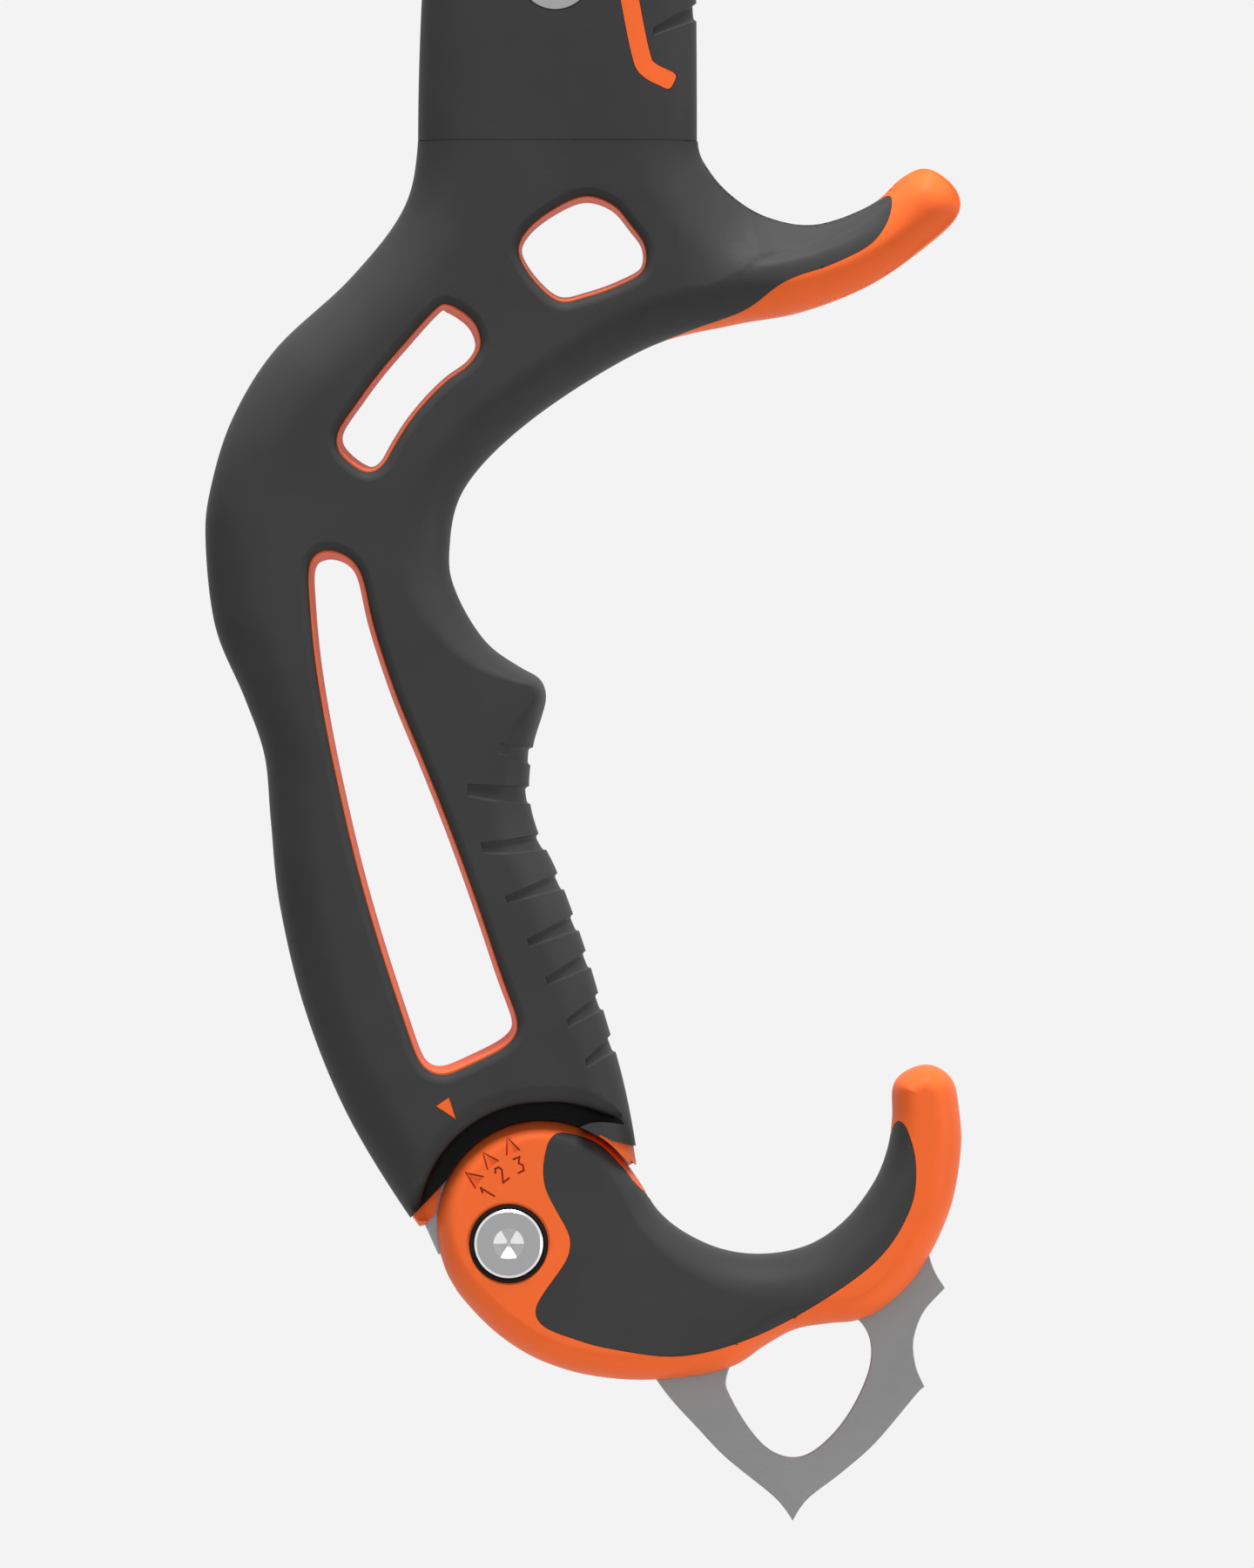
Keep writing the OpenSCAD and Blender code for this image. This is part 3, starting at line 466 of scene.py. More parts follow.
windowLines = dict(
    diamond=dict(along=(0, 1), draft=0.6, points=[
        [31, 135.2], [25.4, 133], [20.2, 129], [18.3, 124.6], [21.2, 119.2], [26, 115.2], [31.2, 116], [37.4, 118.2],
        [42, 121], [42.4, 125.6], [39.8, 129.6], [36.2, 133.6]]),
    slot=dict(along=(0.62, 0.78), draft=0.85, points=[
        [4.6, 114.6], [2, 113.2], [-3.6, 107], [-8.4, 101.4], [-12.4, 96], [-16, 90.6], [-16.2, 87], [-13.6, 84],
        [-10.4, 82.5], [-7.6, 84], [-5, 88.4], [-2.4, 92.4], [1, 96.5], [4.6, 100], [9, 103.3], [11, 107.2],
        [9.4, 111.6]]),
    long=dict(along=(-0.3, 0.95), draft=1.0, points=[
        [-19.4, 67.6], [-21.7, 65], [-21.6, 58], [-20.5, 46.3], [-18.3, 33], [-15.5, 19.7], [-12.3, 6.3], [-8.5, -7],
        [-4.2, -20.3], [-1, -29.4], [1.2, -32], [4, -32.7], [7, -31.6], [15, -27.7], [17.7, -25], [18, -22],
        [15, -13.7], [10.5, -0.3], [5.7, 13], [0.5, 26.3], [-5, 39.7], [-9.4, 53], [-11.8, 63.2], [-15, 66.8]]))
hookTipLine = [[85.4, 134], [89.2, 135.8], [89.7, 134], [88.6, 130], [85.2, 125.8], [77.6, 122], [71.8, 120.1],
               [67.8, 118.1], [61.5, 113.5], [52.5, 110.2], [47, 108.15], [45.6, 107.3], [45.4, 104.5], [60, 100],
               [92, 108], [112, 128], [108, 146], [92, 148], [86, 138]]
coreCutLeft = [[-9, -64.1], around(22.4, 180), around(19.1, 168.2), [12, -66], [12, -84], [-9, -84]]
coreCutRight = [around(19.6, 51), around(21, 37.3), around(21.2, 33), [48, -51], [48, -84], [30, -84], [30, -56]]
coreLipRight = [around(19.6, 51), around(20.3, 44), around(20.4, 37.3), around(20.7, 33), *coreCutRight[3:]]
skinCutLeft = [[-9, -66.8], around(20.7, 159.4), around(19.8, 150.7), [12, -58], [12, -84], [-9, -84]]
skinCutRight = [around(20.6, 57.5), around(21.1, 49.8), [48, -47.9], [48, -84], [30, -84], [30, -54]]
gripGrooves = [[[14.3, 30.2], [21, 28.6]], [[8.6, 21], [20.9, 20.7]], [[11.5, 10], [23.6, 12.8]],
               [[15.8, 1.3], [26.8, 5]], [[20, -7], [29.6, -2.9]], [[23.8, -15], [32.3, -10.6]],
               [[27.7, -22.8], [34.8, -18.4]], [[31.3, -30.7], [37.2, -26.6]]]
pointerLine = [[2.4, -38.5], [6.4, -41.1], [5, -36.7]]
# recess tables hold an angle in degrees and a size there
scoop = dict(start=50.0, full=62.0, end=178.0, round=3.6, fillet=1.4, filletShare=0.6, lid=17.0,
             inner=[[50, 24.9], [52, 24.5], [58, 23.2], [64, 21.8], [68, 20.4], [71, 18.8], [74, 17.4]],
             wall=[[50, 25.2], [53.6, 25.1], [60, 24.5], [75, 24], [90, 23.5]],
             floor=[[50, 8.6], [56, 7.4], [64, 6.4], [72, 5.8]])
# painted shade in the scoop round the pommel: the skin's rubber darkened there by radius from the pommel's centre and
# by depth
scoopPaintedShade = dict(spot=pommelCentre, rim=(0.0240, 0.0270), deep=(0.0070, 0.0112), shade=0.26)
skinGrip = softGripMaterial("skinGrip", scoopPaintedShade)

handleCurve = closedCurve(handleLine, handle["samples"])
handleEdge = easedEdge(handleCurve, handleCurve[:, 2])
hookTipCurve = closedCurve(hookTipLine, 260)
windowCurves = {key: closedCurve(w["points"], 220, 3) for key, w in windowLines.items()}
halfAll = np.full(len(handleCurve), handle["half"])

# hook tables hold x and a size or height there
hookSide = dict(start=44.0, end=108.0, low=100.0, taper=(58.0, 92.0), half=9.0, lead=0.1, ramp=(47.0, 66.0),
                rampBase=0.05, step=1.7, stepWide=1.0, stepAt=(60.0, 68.0), bow=1.35, least=0.8, lid=22.0,
                even=(90.0, 95.0), evenTimes=14, topFrom=50.0, topBase=121.0, topSlope=0.257, lowFrom=(40.0, 90.0),
                samples=160,
                topRound=[[44, 13], [60, 12.5], [66, 11.5], [74, 10], [82, 9], [92, 7.5], [104, 5]],
                lowRound=[[44, 9], [60, 8.5], [72, 6.5], [86, 6], [104, 5]],
                crease=[[44, 112], [52.3, 116.3], [56, 118], [58.8, 119.5], [61.7, 121.6], [64.6, 123.4], [69.7, 124.6],
                        [74.1, 126], [78, 127.7], [81.8, 129.6], [85.6, 132], [90, 136], [96, 142]])


# height of the handle's side at points p: half ellipse from the nearest edge point, flat past the edge rounding
def skinHeight(p):
    gap = np.linalg.norm(p[:, None, :2] - handleCurve[None, :, :2], axis=2)
    near = gap.argmin(1)
    share = np.clip(gap[np.arange(len(p)), near] / handleEdge[near], 0, 1)
    return handle["half"] * np.sqrt(1 - (1 - share)**2)


# share of the way from the first to the second of two places, eased by 3t^2 - 2t^3
def eased(x, ends):
    t = np.clip((x - ends[0]) / (ends[1] - ends[0]), 0, 1)
    return t * t * (3 - 2 * t)


def lookUp(table, x):
    table = np.array(table, float)
    return np.interp(x, table[:, 0], table[:, 1])


# distance of points p from the nearest point of a line, and that point's number
def nearest(p, line):
    found = [np.linalg.norm(q[:, None] - line[None], axis=2) for q in np.array_split(p, 40)]
    return np.concatenate([g.min(1) for g in found]), np.concatenate([g.argmin(1) for g in found])


# hook side at points p: half thickness tapered along the hook times sqrt(1 - m^2), where m joins the shares
# a = 1 - d/e of its upper and lower edge as ((a^6 + b^6) / (1 + min^6))^(1/6);
# above the crease a ramp 1 - (1 - r)^bow takes over, a step lower
def hookHeight(p):
    h = hookSide
    outline = handleCurve[:, :2]
    x, z = outline.T
    onTop = (x > h["topFrom"]) & (z > h["topBase"] + h["topSlope"] * (x - h["topFrom"]))
    onLow = (x > h["lowFrom"][0]) & (z > h["lowFrom"][1]) & ~onTop

    def plain(q):
        half = handle["half"] + h["lead"]
        half = half + (h["half"] - half) * eased(q[:, 0], h["taper"])
        top = nearest(q, outline[onTop])[0]
        upper = 1 - np.clip(top / lookUp(h["topRound"], q[:, 0]), 0, 1)
        lower = 1 - np.clip(nearest(q, outline[onLow])[0] / lookUp(h["lowRound"], q[:, 0]), 0, 1)
        joined = (upper**6 + lower**6) / (1 + np.minimum(upper, lower)**6)
        return half * np.sqrt(1 - np.minimum(joined**(1 / 3), 1)), top

    x = np.linspace(h["crease"][0][0], h["crease"][-1][0], h["samples"])
    crease = np.stack([x, lookUp(h["crease"], x)], 1)
    creaseHeight = plain(crease)[0]
    height, top = plain(p)
    gap, at = nearest(p, crease)
    sunk = h["step"] * eased(x[at], h["stepAt"])
    way = top / np.maximum(top + gap, 1e-6)
    ramp = (creaseHeight[at] - sunk) * (1 - (1 - way)**h["bow"] + h["rampBase"]) / (1 + h["rampBase"])
    share = eased(np.minimum(x[at], p[:, 0]), h["ramp"])
    above = p[:, 1] > lookUp(h["crease"], p[:, 0])
    below = height - sunk * np.exp(-(gap / h["stepWide"])**2)
    return np.maximum(np.where(above, height + share * (np.minimum(ramp, height) - height), below), h["least"])


# what is taken off one side of the hook, depth below its surface: a grid of heights closed by a lid further out
def hookCutter(side, depth, step=0.45, least=0.5):
    h = hookSide
    x = np.arange(h["start"], h["end"], step)
    z = np.arange(h["low"], handle["seam"] + 1, step)
    grid = np.stack(np.meshgrid(x, z, indexing="ij"), -1)
    low = np.maximum(hookHeight(grid.reshape(-1, 2)) - depth, least).reshape(len(x), len(z))
    soft = low
    for _ in range(h["evenTimes"]):
        soft = (soft + np.roll(soft, 1, 0) + np.roll(soft, -1, 0) + np.roll(soft, 1, 1) + np.roll(soft, -1, 1)) / 5
    tip = np.clip((x[:, None] - h["even"][0]) / (h["even"][1] - h["even"][0]), 0, 1)
    low = low + (soft - low) * tip  # the tip is evened out
    edge = np.concatenate([grid, low[..., None]], -1)
    lid = np.concatenate([grid[:, ::-1], np.full((len(x), len(z), 1), h["lid"])], -1)
    rings = np.concatenate([edge, lid], 1)[..., [0, 2, 1]] * [1, side, 1]
    return ringStack(list(rings))


# window in the skin: straight walls whose rims roll over by a quarter round that follows the moulded side
def windowCutter(curve, radius, clear=0.03):
    upper = []
    for v in np.radians(np.linspace(0, 90, 9)):
        p = offsetCurve(curve, radius * (1 - np.cos(v)))
        upper.append((p, skinHeight(p) - radius * (1 - np.sin(v)) + clear))
    return mirroredStack(upper + [(offsetCurve(curve, radius + 0.02), np.full(len(curve), handle["half"] + 3))])


# window in the core: walls drafted from both sides, narrowest in the middle plane and deeper at the window's ends
def draftedCutter(curve, along, draft, ends=0.75, flare=1.3):
    middle = draft * (1 + ends * (outward(curve) @ (np.array(along) / np.linalg.norm(along)))**2)
    top = handle["half"] + 2
    levels = (0.04, 0.25, 0.5, 0.75, 1)
    return mirroredStack([(offsetCurve(curve, -handle["gap"] - middle * (1 - v)**flare), top * v) for v in levels])


# recess round the pommel: a section of floor, fillet, wall and rolled rim, carried round the pommel's centre
def scoopCutter(sign, grow=0.0, clear=0.03):
    s = scoop
    angles = np.linspace(s["start"] - grow, s["end"], 90)
    opened = np.clip((angles - s["start"]) / (s["full"] - s["start"]), 0.05, 1)
    rim = s["round"] * np.sqrt(1 - (1 - opened)**2) * (grow == 0)
    inner = lookUp(s["inner"], angles) - grow
    wall = lookUp(s["wall"], angles) + grow
    fillet = np.minimum(s["fillet"], s["filletShare"] * (wall - inner))
    floor = lookUp(s["floor"], angles) - grow
    radii, heights = [inner], [floor]
    for v in np.radians(np.linspace(0, 90, 5)):
        radii.append(wall - fillet * (1 - np.sin(v)))
        heights.append(floor + fillet * (1 - np.cos(v)))
    a = np.radians(angles)
    for v in np.radians(np.linspace(0, 90, 8)):
        r = wall + rim * (1 - np.cos(v))
        p = pommelCentre + np.stack([np.cos(a), np.sin(a)], 1) * r[:, None]
        radii.append(r)
        heights.append(np.maximum(skinHeight(p) - rim * (1 - np.sin(v)) + clear, heights[-1] + 0.01))
    radii += [radii[-1] + 0.02, inner]
    heights += [np.full(len(angles), s["lid"])] * 2
    r = np.stack(radii, 1)
    y = np.stack(heights, 1) * sign
    x = pommelCentre[0] + r * np.cos(a)[:, None]
    z = pommelCentre[1] + r * np.sin(a)[:, None]
    return ringStack(list(np.stack([x, y, z], -1)))


# finger groove: a strip over the front edge, from one side round to the other, sunk as a channel that is a little
# deeper at its upper edge; place along the edge = front point + shift with inset, inset e (1 - cos a), height T sin a
def grooveCutter(curve, edge, half, ends, fade, closed=True):
    inner, front = np.array(ends[0], float), np.array(ends[1], float)
    count = len(curve)
    n = outward(curve)
    near = np.linalg.norm(curve[:, :2] - front, axis=1).argmin()
    along = np.array([-n[near, 1], n[near, 0]])
    step = np.linalg.norm(curve[(near + 1) % count, :2] - curve[near, :2])
    reach = max(-(inner - curve[near, :2]) @ n[near], 2.0)
    lean = ((inner - front) @ along) / reach
    e0 = edge[near]
    bow = np.arccos(np.clip(1 - min(reach, e0 * 0.999) / e0, -1, 1))
    inset = e0 * (1 - np.cos(np.linspace(0, bow, 14)))
    if reach > e0:
        inset = np.r_[inset, np.linspace(e0, reach, 6)[1:]]
    inset = np.r_[inset[:0:-1], inset]
    sign = np.r_[-np.ones(len(inset) // 2), np.ones(len(inset) - len(inset) // 2)]
    share = inset / reach
    u = np.sin(np.radians(np.linspace(-90, 90, 15)))
    spread = handle["grooveWidth"] / 2 * (1 - 0.5 * share)
    place = near + (lean * inset[:, None] + u[None, :] * spread[:, None]) / step
    low = np.floor(place).astype(int)
    part = (place - low)[..., None]
    pick = (lambda k: k % count) if closed else (lambda k: np.clip(k, 0, count - 1))
    at = lambda field: field[pick(low)] * (1 - part) + field[pick(low + 1)] * part
    base, side = at(curve[:, :2]), at(n)
    e = at(edge[:, None])[..., 0]
    t = at(half[:, None])[..., 0]
    cosA = 1 - np.clip(inset[:, None] / e, 0, 1)
    sinA = np.sqrt(1 - cosA**2)
    point = np.concatenate([base - side * inset[:, None, None], (t * sinA * sign[:, None])[..., None]], -1)
    normal = np.concatenate([side * (cosA / e)[..., None], (sinA / t * sign[:, None])[..., None]], -1)
    normal /= np.linalg.norm(normal, axis=-1, keepdims=True)
    ramp = (1 - u**8) * (0.86 + 0.14 * u)
    sink = handle["groove"] * ramp[None, :] * (1 - fade * share[:, None])
    floor, lid = point - normal * sink[..., None], point + normal * 0.9
    ring = np.concatenate([floor, lid[:, ::-1]], 1)[..., [0, 2, 1]]
    return ringStack(list(ring))


# block of space between two corners, right through
def block(low, high, step, reach=through):
    (x0, z0), (x1, z1) = low, high
    return prism(brokenLine([[x0, z0], [x1, z0], [x1, z1], [x0, z1]], step), -reach, reach)


def throughCut(line, step, reach=through):
    return prism(brokenLine(counterClockwise(line), step), -reach, reach)


# room for the pommel: its round end and the slanting ends of the handle, each line with its reach from the middle
def pommelRoom(obj, lip, sides):
    h = handle["roomHalf"]
    upper = [(handleCutRadius, h - handle["roomStep"]), (lip, h), (lip, through)]
    cut(obj, turned(pommelCentre, [(r, -y) for r, y in upper[::-1]] + upper, 240))
    for line, reach in sides:
        cut(obj, throughCut(line, 4, reach))


def handleForm(depth, rings=26):
    return solid("tool", roundedBody(handleCurve, handleEdge, handle["half"], depth, rings))


# handle with its tapered hook, cut off at the seam
def wholeHandle(depth, rings=26):
    obj = cut(handleForm(depth, rings), hookCutter(-1, depth), hookCutter(1, depth))
    seam = handle["seam"] - (handle["gap"] if depth == 0 else 0)
    return cut(obj, block((-80, seam), (160, seam + 54), 60))


# soft skin: the moulded form less the core, windows, grooves, scoop and the pommel's room
def makeHandleSkin():
    skin = wholeHandle(0.0)
    skin.name = "handleSkin"
    grow = handle["scoopLining"]
    lining = cut(wholeHandle(handle["skin"], 16), scoopCutter(-1, grow), scoopCutter(1, grow))
    combine(skin, lining, "DIFFERENCE")
    for curve in windowCurves.values():
        cut(skin, windowCutter(curve, handle["windowRound"]))
    for k, ends in enumerate(gripGrooves):
        fade = handle["firstFade"] if k == 0 else handle["grooveFade"]
        cut(skin, grooveCutter(handleCurve, handleEdge, halfAll, ends, fade))
    cut(skin, scoopCutter(-1), scoopCutter(1))
    cut(skin, prism(offsetCurve(hookTipCurve, handle["bedGap"]), -through, through))
    pommelRoom(skin, discRadius + handle["skinLip"], [(skinCutLeft, through), (skinCutRight, through)])
    arrow = offsetCurve(brokenLine(pointerLine, 0.5), handle["bedGap"])
    floor = handle["half"] - handle["pointerDeep"]
    cut(skin, prism(arrow, -through, -floor), prism(arrow, floor, through))
    finishPiece(skin, "handle", skinGrip, "handle_skin")


# orange core: a smaller handle with drafted windows, plus hook tip and lower lips that come to the surface
def makeHandleCore():
    core = wholeHandle(handle["skin"] + handle["gap"], 18)
    core.name = "handleCore"
    combine(core, keepInside(wholeHandle(0.0), prism(hookTipCurve, -through, through)), "UNION")
    for line in (skinCutLeft, skinCutRight):
        combine(core, keepInside(handleForm(handle["lipSunk"]), throughCut(line, 4)), "UNION")
    for key, curve in windowCurves.items():
        cut(core, draftedCutter(curve, windowLines[key]["along"], windowLines[key]["draft"]))
    grow = handle["scoopLining"] + handle["gap"]
    cut(core, scoopCutter(-1, grow), scoopCutter(1, grow))
    pommelRoom(core, discRadius + handle["coreLip"], [(coreCutLeft, through), (coreCutRight, handle["lipDeep"]),
                                                      (coreLipRight, through)])
    finishPiece(core, "handle", coreOrange, "handle_core")


makeHandleSkin()
makeHandleCore()
print("stage: handle made")


pommel = dict(half=12.0, samples=520, reach=30.0, parting=0.04, padThick=1.5, padClear=0.03, padGap=0.09,
              tangRadius=19.7, tangHalf=2.8, tangTurn=(14, 217), spikeHalf=2.05, nutFlats=10.1, nutFloor=7.0,
              boltSeat=[(8.1, -14), (8.1, -12.05), (7.55, -11.5), (7.55, -8.4)])
settingMarks = dict(deep=0.45, lineDeep=1.5, lineWide=0.3, out=0.6, long=3.1, halfWide=1.3, digitHeight=3.0,
                    digitWide=0.62, stroke=0.36, above=-14.0)
pommelLine = [[*around(discRadius, a), 4] for a in range(45, 181, 15)] + [
    [*around(20.3, 197.5), 4], [*around(20.6, 215.8), 4.5], [12.3, -80.5, 5], [19, -85.5, 5], [25.7, -88.5, 5],
    [33, -90.3, 5], [42, -91, 5], [52.3, -90.2, 5], [59.8, -88.2, 5], [65.5, -84.4, 5],
    [71.3, -81.3, 5], [77.8, -80.2, 5], [83.2, -79.6, 5], [88.7, -76.7, 5], [95, -70.2, 5.5],
    [100.7, -58.7, 6], [102.9, -47, 6], [102.5, -38.8, 5], [101.2, -33.4, 4.5],
    [97.2, -30.7, 4.5], [92.8, -31.6, 4.5], [89.9, -34.6, 4.5], [89.7, -41, 5.5], [88.8, -46.8, 6.2],
    [86.2, -53.2, 7], [80.8, -60.3, 8], [74, -65, 9], [65.7, -66.8, 9], [57.5, -66, 7.5],
    [50, -62.7, 6], [*around(22.3, 7.5), 5], [*around(20.5, 24.4), 4.5]]
padLine = [around(18.2, 77), around(16.8, 84), [23.4, -47.6], [23, -51.5], [24, -55.6],
           [27.6, -62.2], [28.2, -65], [27.2, -68.4], [22.6, -75], [21.5, -78.2], [23.4, -80.8], [28.7, -82.9],
           [35.6, -84.8], [48.5, -86.3], [61.2, -83.4], [74, -77.1], [86.7, -68], [93, -58.4],
           [94.2, -50], [92.6, -43.2], [90.8, -41.1], [89.9, -42.6], [88.6, -45.4], [84, -48], [76, -55],
           [66, -57.5], [56, -57], [49.4, -57], around(22.5, 12), around(19.9, 21.5), around(18.9, 38.3),
           around(18.9, 57)]
clampOffset, clampTurn = 7.2, 209
clampSpot = np.array(around(clampOffset, clampTurn))
markTips = [[8.7, -51.6], [11.8, -47.8], [16.3, -45.0]]
markNumbers = [[12.3, -55.0], [15.0, -51.5], [18.5, -49.7]]

pommelCurve = closedCurve(pommelLine, pommel["samples"])
pommelEdge = easedEdge(pommelCurve, pommelCurve[:, 2])
padCurve = closedCurve(padLine, 300)


def pommelForm(depth, rings):
    return solid("tool", roundedBody(pommelCurve, pommelEdge, pommel["half"], depth, rings))


# one half of the pommel's form, up to the parting plane
def pommelHalf(side, name):
    half = pommelForm(0.0, 24)
    half.name = name
    y0, y1 = sorted((side * pommel["parting"], side * pommel["reach"]))
    return keepInside(half, prism(brokenLine([[-60, -160], [160, -160], [160, 40], [-60, 40]], 90), y0, y1))


# the pad's prism, wider than the pad line by grow
def padPrism(grow):
    return prism(offsetCurve(padCurve, grow), -pommel["reach"], pommel["reach"])


# three setting marks: triangles whose tips point out towards the rim
def markShapes():
    m = settingMarks
    shapes = []
    for tip in markTips:
        out = np.array(tip) - pommelCentre
        out /= np.linalg.norm(out)
        lean = np.array([-out[1], out[0]])
        tip = np.array(tip) + out * m["out"]
        base = tip - out * m["long"]
        shapes.append([tip, base + lean * m["halfWide"], base - lean * m["halfWide"]])
    return shapes


# plain digits 1, 2 and 3 as strokes on a unit box
digitStrokes = {1: [[(0.25, 0.75), (0.55, 1.0)], [(0.55, 1.0), (0.55, 0.0)]],
                2: [[(0.1, 0.8), (0.35, 1.0)], [(0.35, 1.0), (0.72, 0.95)], [(0.72, 0.95), (0.82, 0.7)],
                    [(0.82, 0.7), (0.1, 0.0)], [(0.1, 0.0), (0.85, 0.0)]],
                3: [[(0.1, 0.95), (0.75, 0.98)], [(0.75, 0.98), (0.45, 0.6)], [(0.45, 0.6), (0.78, 0.42)],
                    [(0.78, 0.42), (0.72, 0.08)], [(0.72, 0.08), (0.1, 0.03)]]}


# stroke: a bar of even width round a line, with square ends
def strokeBar(a, b, width):
    a, b = np.array(a), np.array(b)
    run = (b - a) / np.linalg.norm(b - a)
    side = np.array([-run[1], run[0]]) * width / 2
    end = run * width / 2
    return np.array([a - end - side, b + end - side, b + end + side, a - end + side])


def numberBars():
    m = settingMarks
    size = np.array([m["digitWide"], 1.0]) * m["digitHeight"]
    bars = []
    for value, spot in zip((1, 2, 3), markNumbers):
        out = np.array(spot) - pommelCentre
        turn = np.arctan2(out[1], out[0]) - np.pi / 2
        spin = np.array([[np.cos(turn), -np.sin(turn)], [np.sin(turn), np.cos(turn)]])
        for a, b in digitStrokes[value]:
            ends = [spin @ ((np.array(q) - 0.5) * size) + np.array(spot) for q in (a, b)]
            bars.append(strokeBar(*ends, m["stroke"]))
    return bars


# room between the shells for the tang's disc, and the sector that its neck sweeps through
def tangRoom():
    half = pommel["tangHalf"]
    sweep = [around(60, a) for a in np.linspace(*pommel["tangTurn"], 60)]
    return [bore(pommelCentre, pommel["tangRadius"], 120, half),
            prism(np.array([pommelCentre.tolist()] + sweep), -half, half)]


# shells: half of the pommel each, less the pad's bed, the bolt's seat and the engraved marks
def makeShell(side, name, node):
    p, m = pommel, settingMarks
    shell = pommelHalf(side, name)
    bed = combine(solid("tool", padPrism(p["padGap"] / 2)), pommelForm(p["padThick"], 16), "DIFFERENCE")
    combine(shell, bed, "DIFFERENCE")
    if side < 0:
        cut(shell, turned(clampSpot, p["boltSeat"]))
        bars = numberBars()
        for shape in markShapes():
            cut(shell, prism(brokenLine(shape, 0.6), m["above"], m["deep"] - p["half"]))
            bars += [strokeBar(shape[k - 1], shape[k], m["lineWide"]) for k in (0, 1)]
        cut(shell, *[prism(bar, m["above"], m["lineDeep"] - p["half"]) for bar in bars])
    else:
        cut(shell, prism(hexagon(clampSpot, p["nutFlats"]), p["nutFloor"], 14))
    cut(shell, prism(brokenLine(spikeLine, 3), -p["spikeHalf"], p["spikeHalf"]), *tangRoom())
    finishPiece(shell, "pommel", coreOrange, node)


# pads: the pommel's outer layer inside the pad line, with a fine gap to the shell
def makePad(side, name, node):
    pad = keepInside(pommelHalf(side, name), padPrism(-pommel["padGap"] / 2))
    combine(pad, pommelForm(pommel["padThick"] - pommel["padClear"], 16), "DIFFERENCE")
    cut(pad, *tangRoom())
    finishPiece(pad, "pommel", softGrip, node)


spikeLine = [[40, -84], [46.4, -93.4], [52.6, -100.3], [58, -105.9], [66.3, -112.6], [69, -115.4],
             [70.7, -117.9], [72.2, -115.4], [74.4, -113], [80.3, -108.5], [86.7, -102.8], [94.3, -93.8],
             [95.9, -92.3], [94.4, -88.8], [93.8, -84.8], [94.3, -81.4], [96, -77.6], [99.8, -73.4],
             [97.6, -69.6], [95, -62], [90, -60], [82, -66], [74, -71], [60, -74], [48, -74]]
clipEyeLine = [[58, -90.8], [59.2, -95], [62.8, -100.8], [66.4, -104.4], [70.6, -105.8],
               [74.6, -104.6], [79.2, -100.4], [83, -94.6], [85.5, -88], [85.2, -82.4], [82, -78.6],
               [76, -77.2], [68, -79.4], [61, -84.6]]
makeShell(-1, "pommelShellLeft", "pommel_shell_left")
makeShell(1, "pommelShellRight", "pommel_shell_right")
makePad(-1, "pommelPadLeft", "pommel_pad_left")
makePad(1, "pommelPadRight", "pommel_pad_right")
print("stage: pommel made")


# outline of smooth runs between sharp corners: open cubics through each run, read off at even steps
def corneredCurve(points, corners, step):
    p = np.array(points, float)
    stops = list(corners) + [corners[0] + len(p)]
    count = lambda length: max(2, int(length / step))
    return np.concatenate([evenly(openCubics(p[np.arange(a, b + 1) % len(p)], 16), count)
                           for a, b in zip(stops[:-1], stops[1:])])


# hole through a plate: straight wall with its two rims rolled over by r
def easedHole(curve, half, r, steps=5, clear=0.01):
    up = [(r * (1 - np.cos(v)), half - r * (1 - np.sin(v)) + clear) for v in np.radians(np.linspace(0, 90, steps))]
    return mirroredStack([(offsetCurve(curve, d), y) for d, y in up + [(r + clear, half + 3)]])


spikePlate = dict(half=2.0, rim=0.2, eyeRim=0.4, corners=[0, 6, 12, 17, 20])


def makeSpike():
    k = spikePlate
    spike = solid("spike", rimmedPlate(corneredCurve(spikeLine, k["corners"], 0.5), k["half"], k["rim"]))
    cut(spike, easedHole(closedCurve(clipEyeLine, 200), k["half"], k["eyeRim"]))
    finishPiece(spike, "pommel", bladeSteel, "spike", 12)


tangPlate = dict(half=2.5, rim=0.3, radius=19.4, pinBore=2.25, slotHalf=3.3, slotTurn=17, reach=6.0)
tangNeckLine = [[24, -58], around(21.1, 34), [36.4, -45.4], [35.4, -40], [32, -24], [28.4, -8], [22.8, -8],
                [24.4, -22], [18, -33], [4, -37.4], [-3.6, -34.4], [-9.4, -16], [-13.6, 4], [-20.4, 2],
                [-20.4, -12], [-13, -36], [-4, -52], around(22.2, 181), around(20.6, 196)]


# tang: disc and forked neck, with the pivot's bore and a curved slot for the clamp bolt
def makeTang():
    k = tangPlate
    tang = solid("tang", rimmedPlate(circle(pommelCentre, k["radius"], 160), k["half"], k["rim"]),
                 rimmedPlate(brokenLine(tangNeckLine, 1.5), k["half"], k["rim"]))
    cut(tang, bore(pommelCentre, k["pinBore"], 48, k["reach"]))
    ends = (clampTurn - k["slotTurn"], clampTurn + k["slotTurn"])
    slot = [around(clampOffset + k["slotHalf"], a) for a in np.linspace(*ends, 12)]
    slot += [around(clampOffset - k["slotHalf"], a) for a in np.linspace(*ends[::-1], 12)]
    cut(tang, prism(np.array(slot), -k["reach"], k["reach"]),
        *[bore(around(clampOffset, a), k["slotHalf"], 48, k["reach"]) for a in ends])
    finishPiece(tang, "handle", tangSteel, "tang", 12)


clampBolt = dict(headRadius=6.55, shank=3.0, face=-12.4, seat=-8.4, end=11.5, endRim=0.4, chamfer=0.45, socket=5.0,
                 mouth=1.07, socketDeep=1.7)


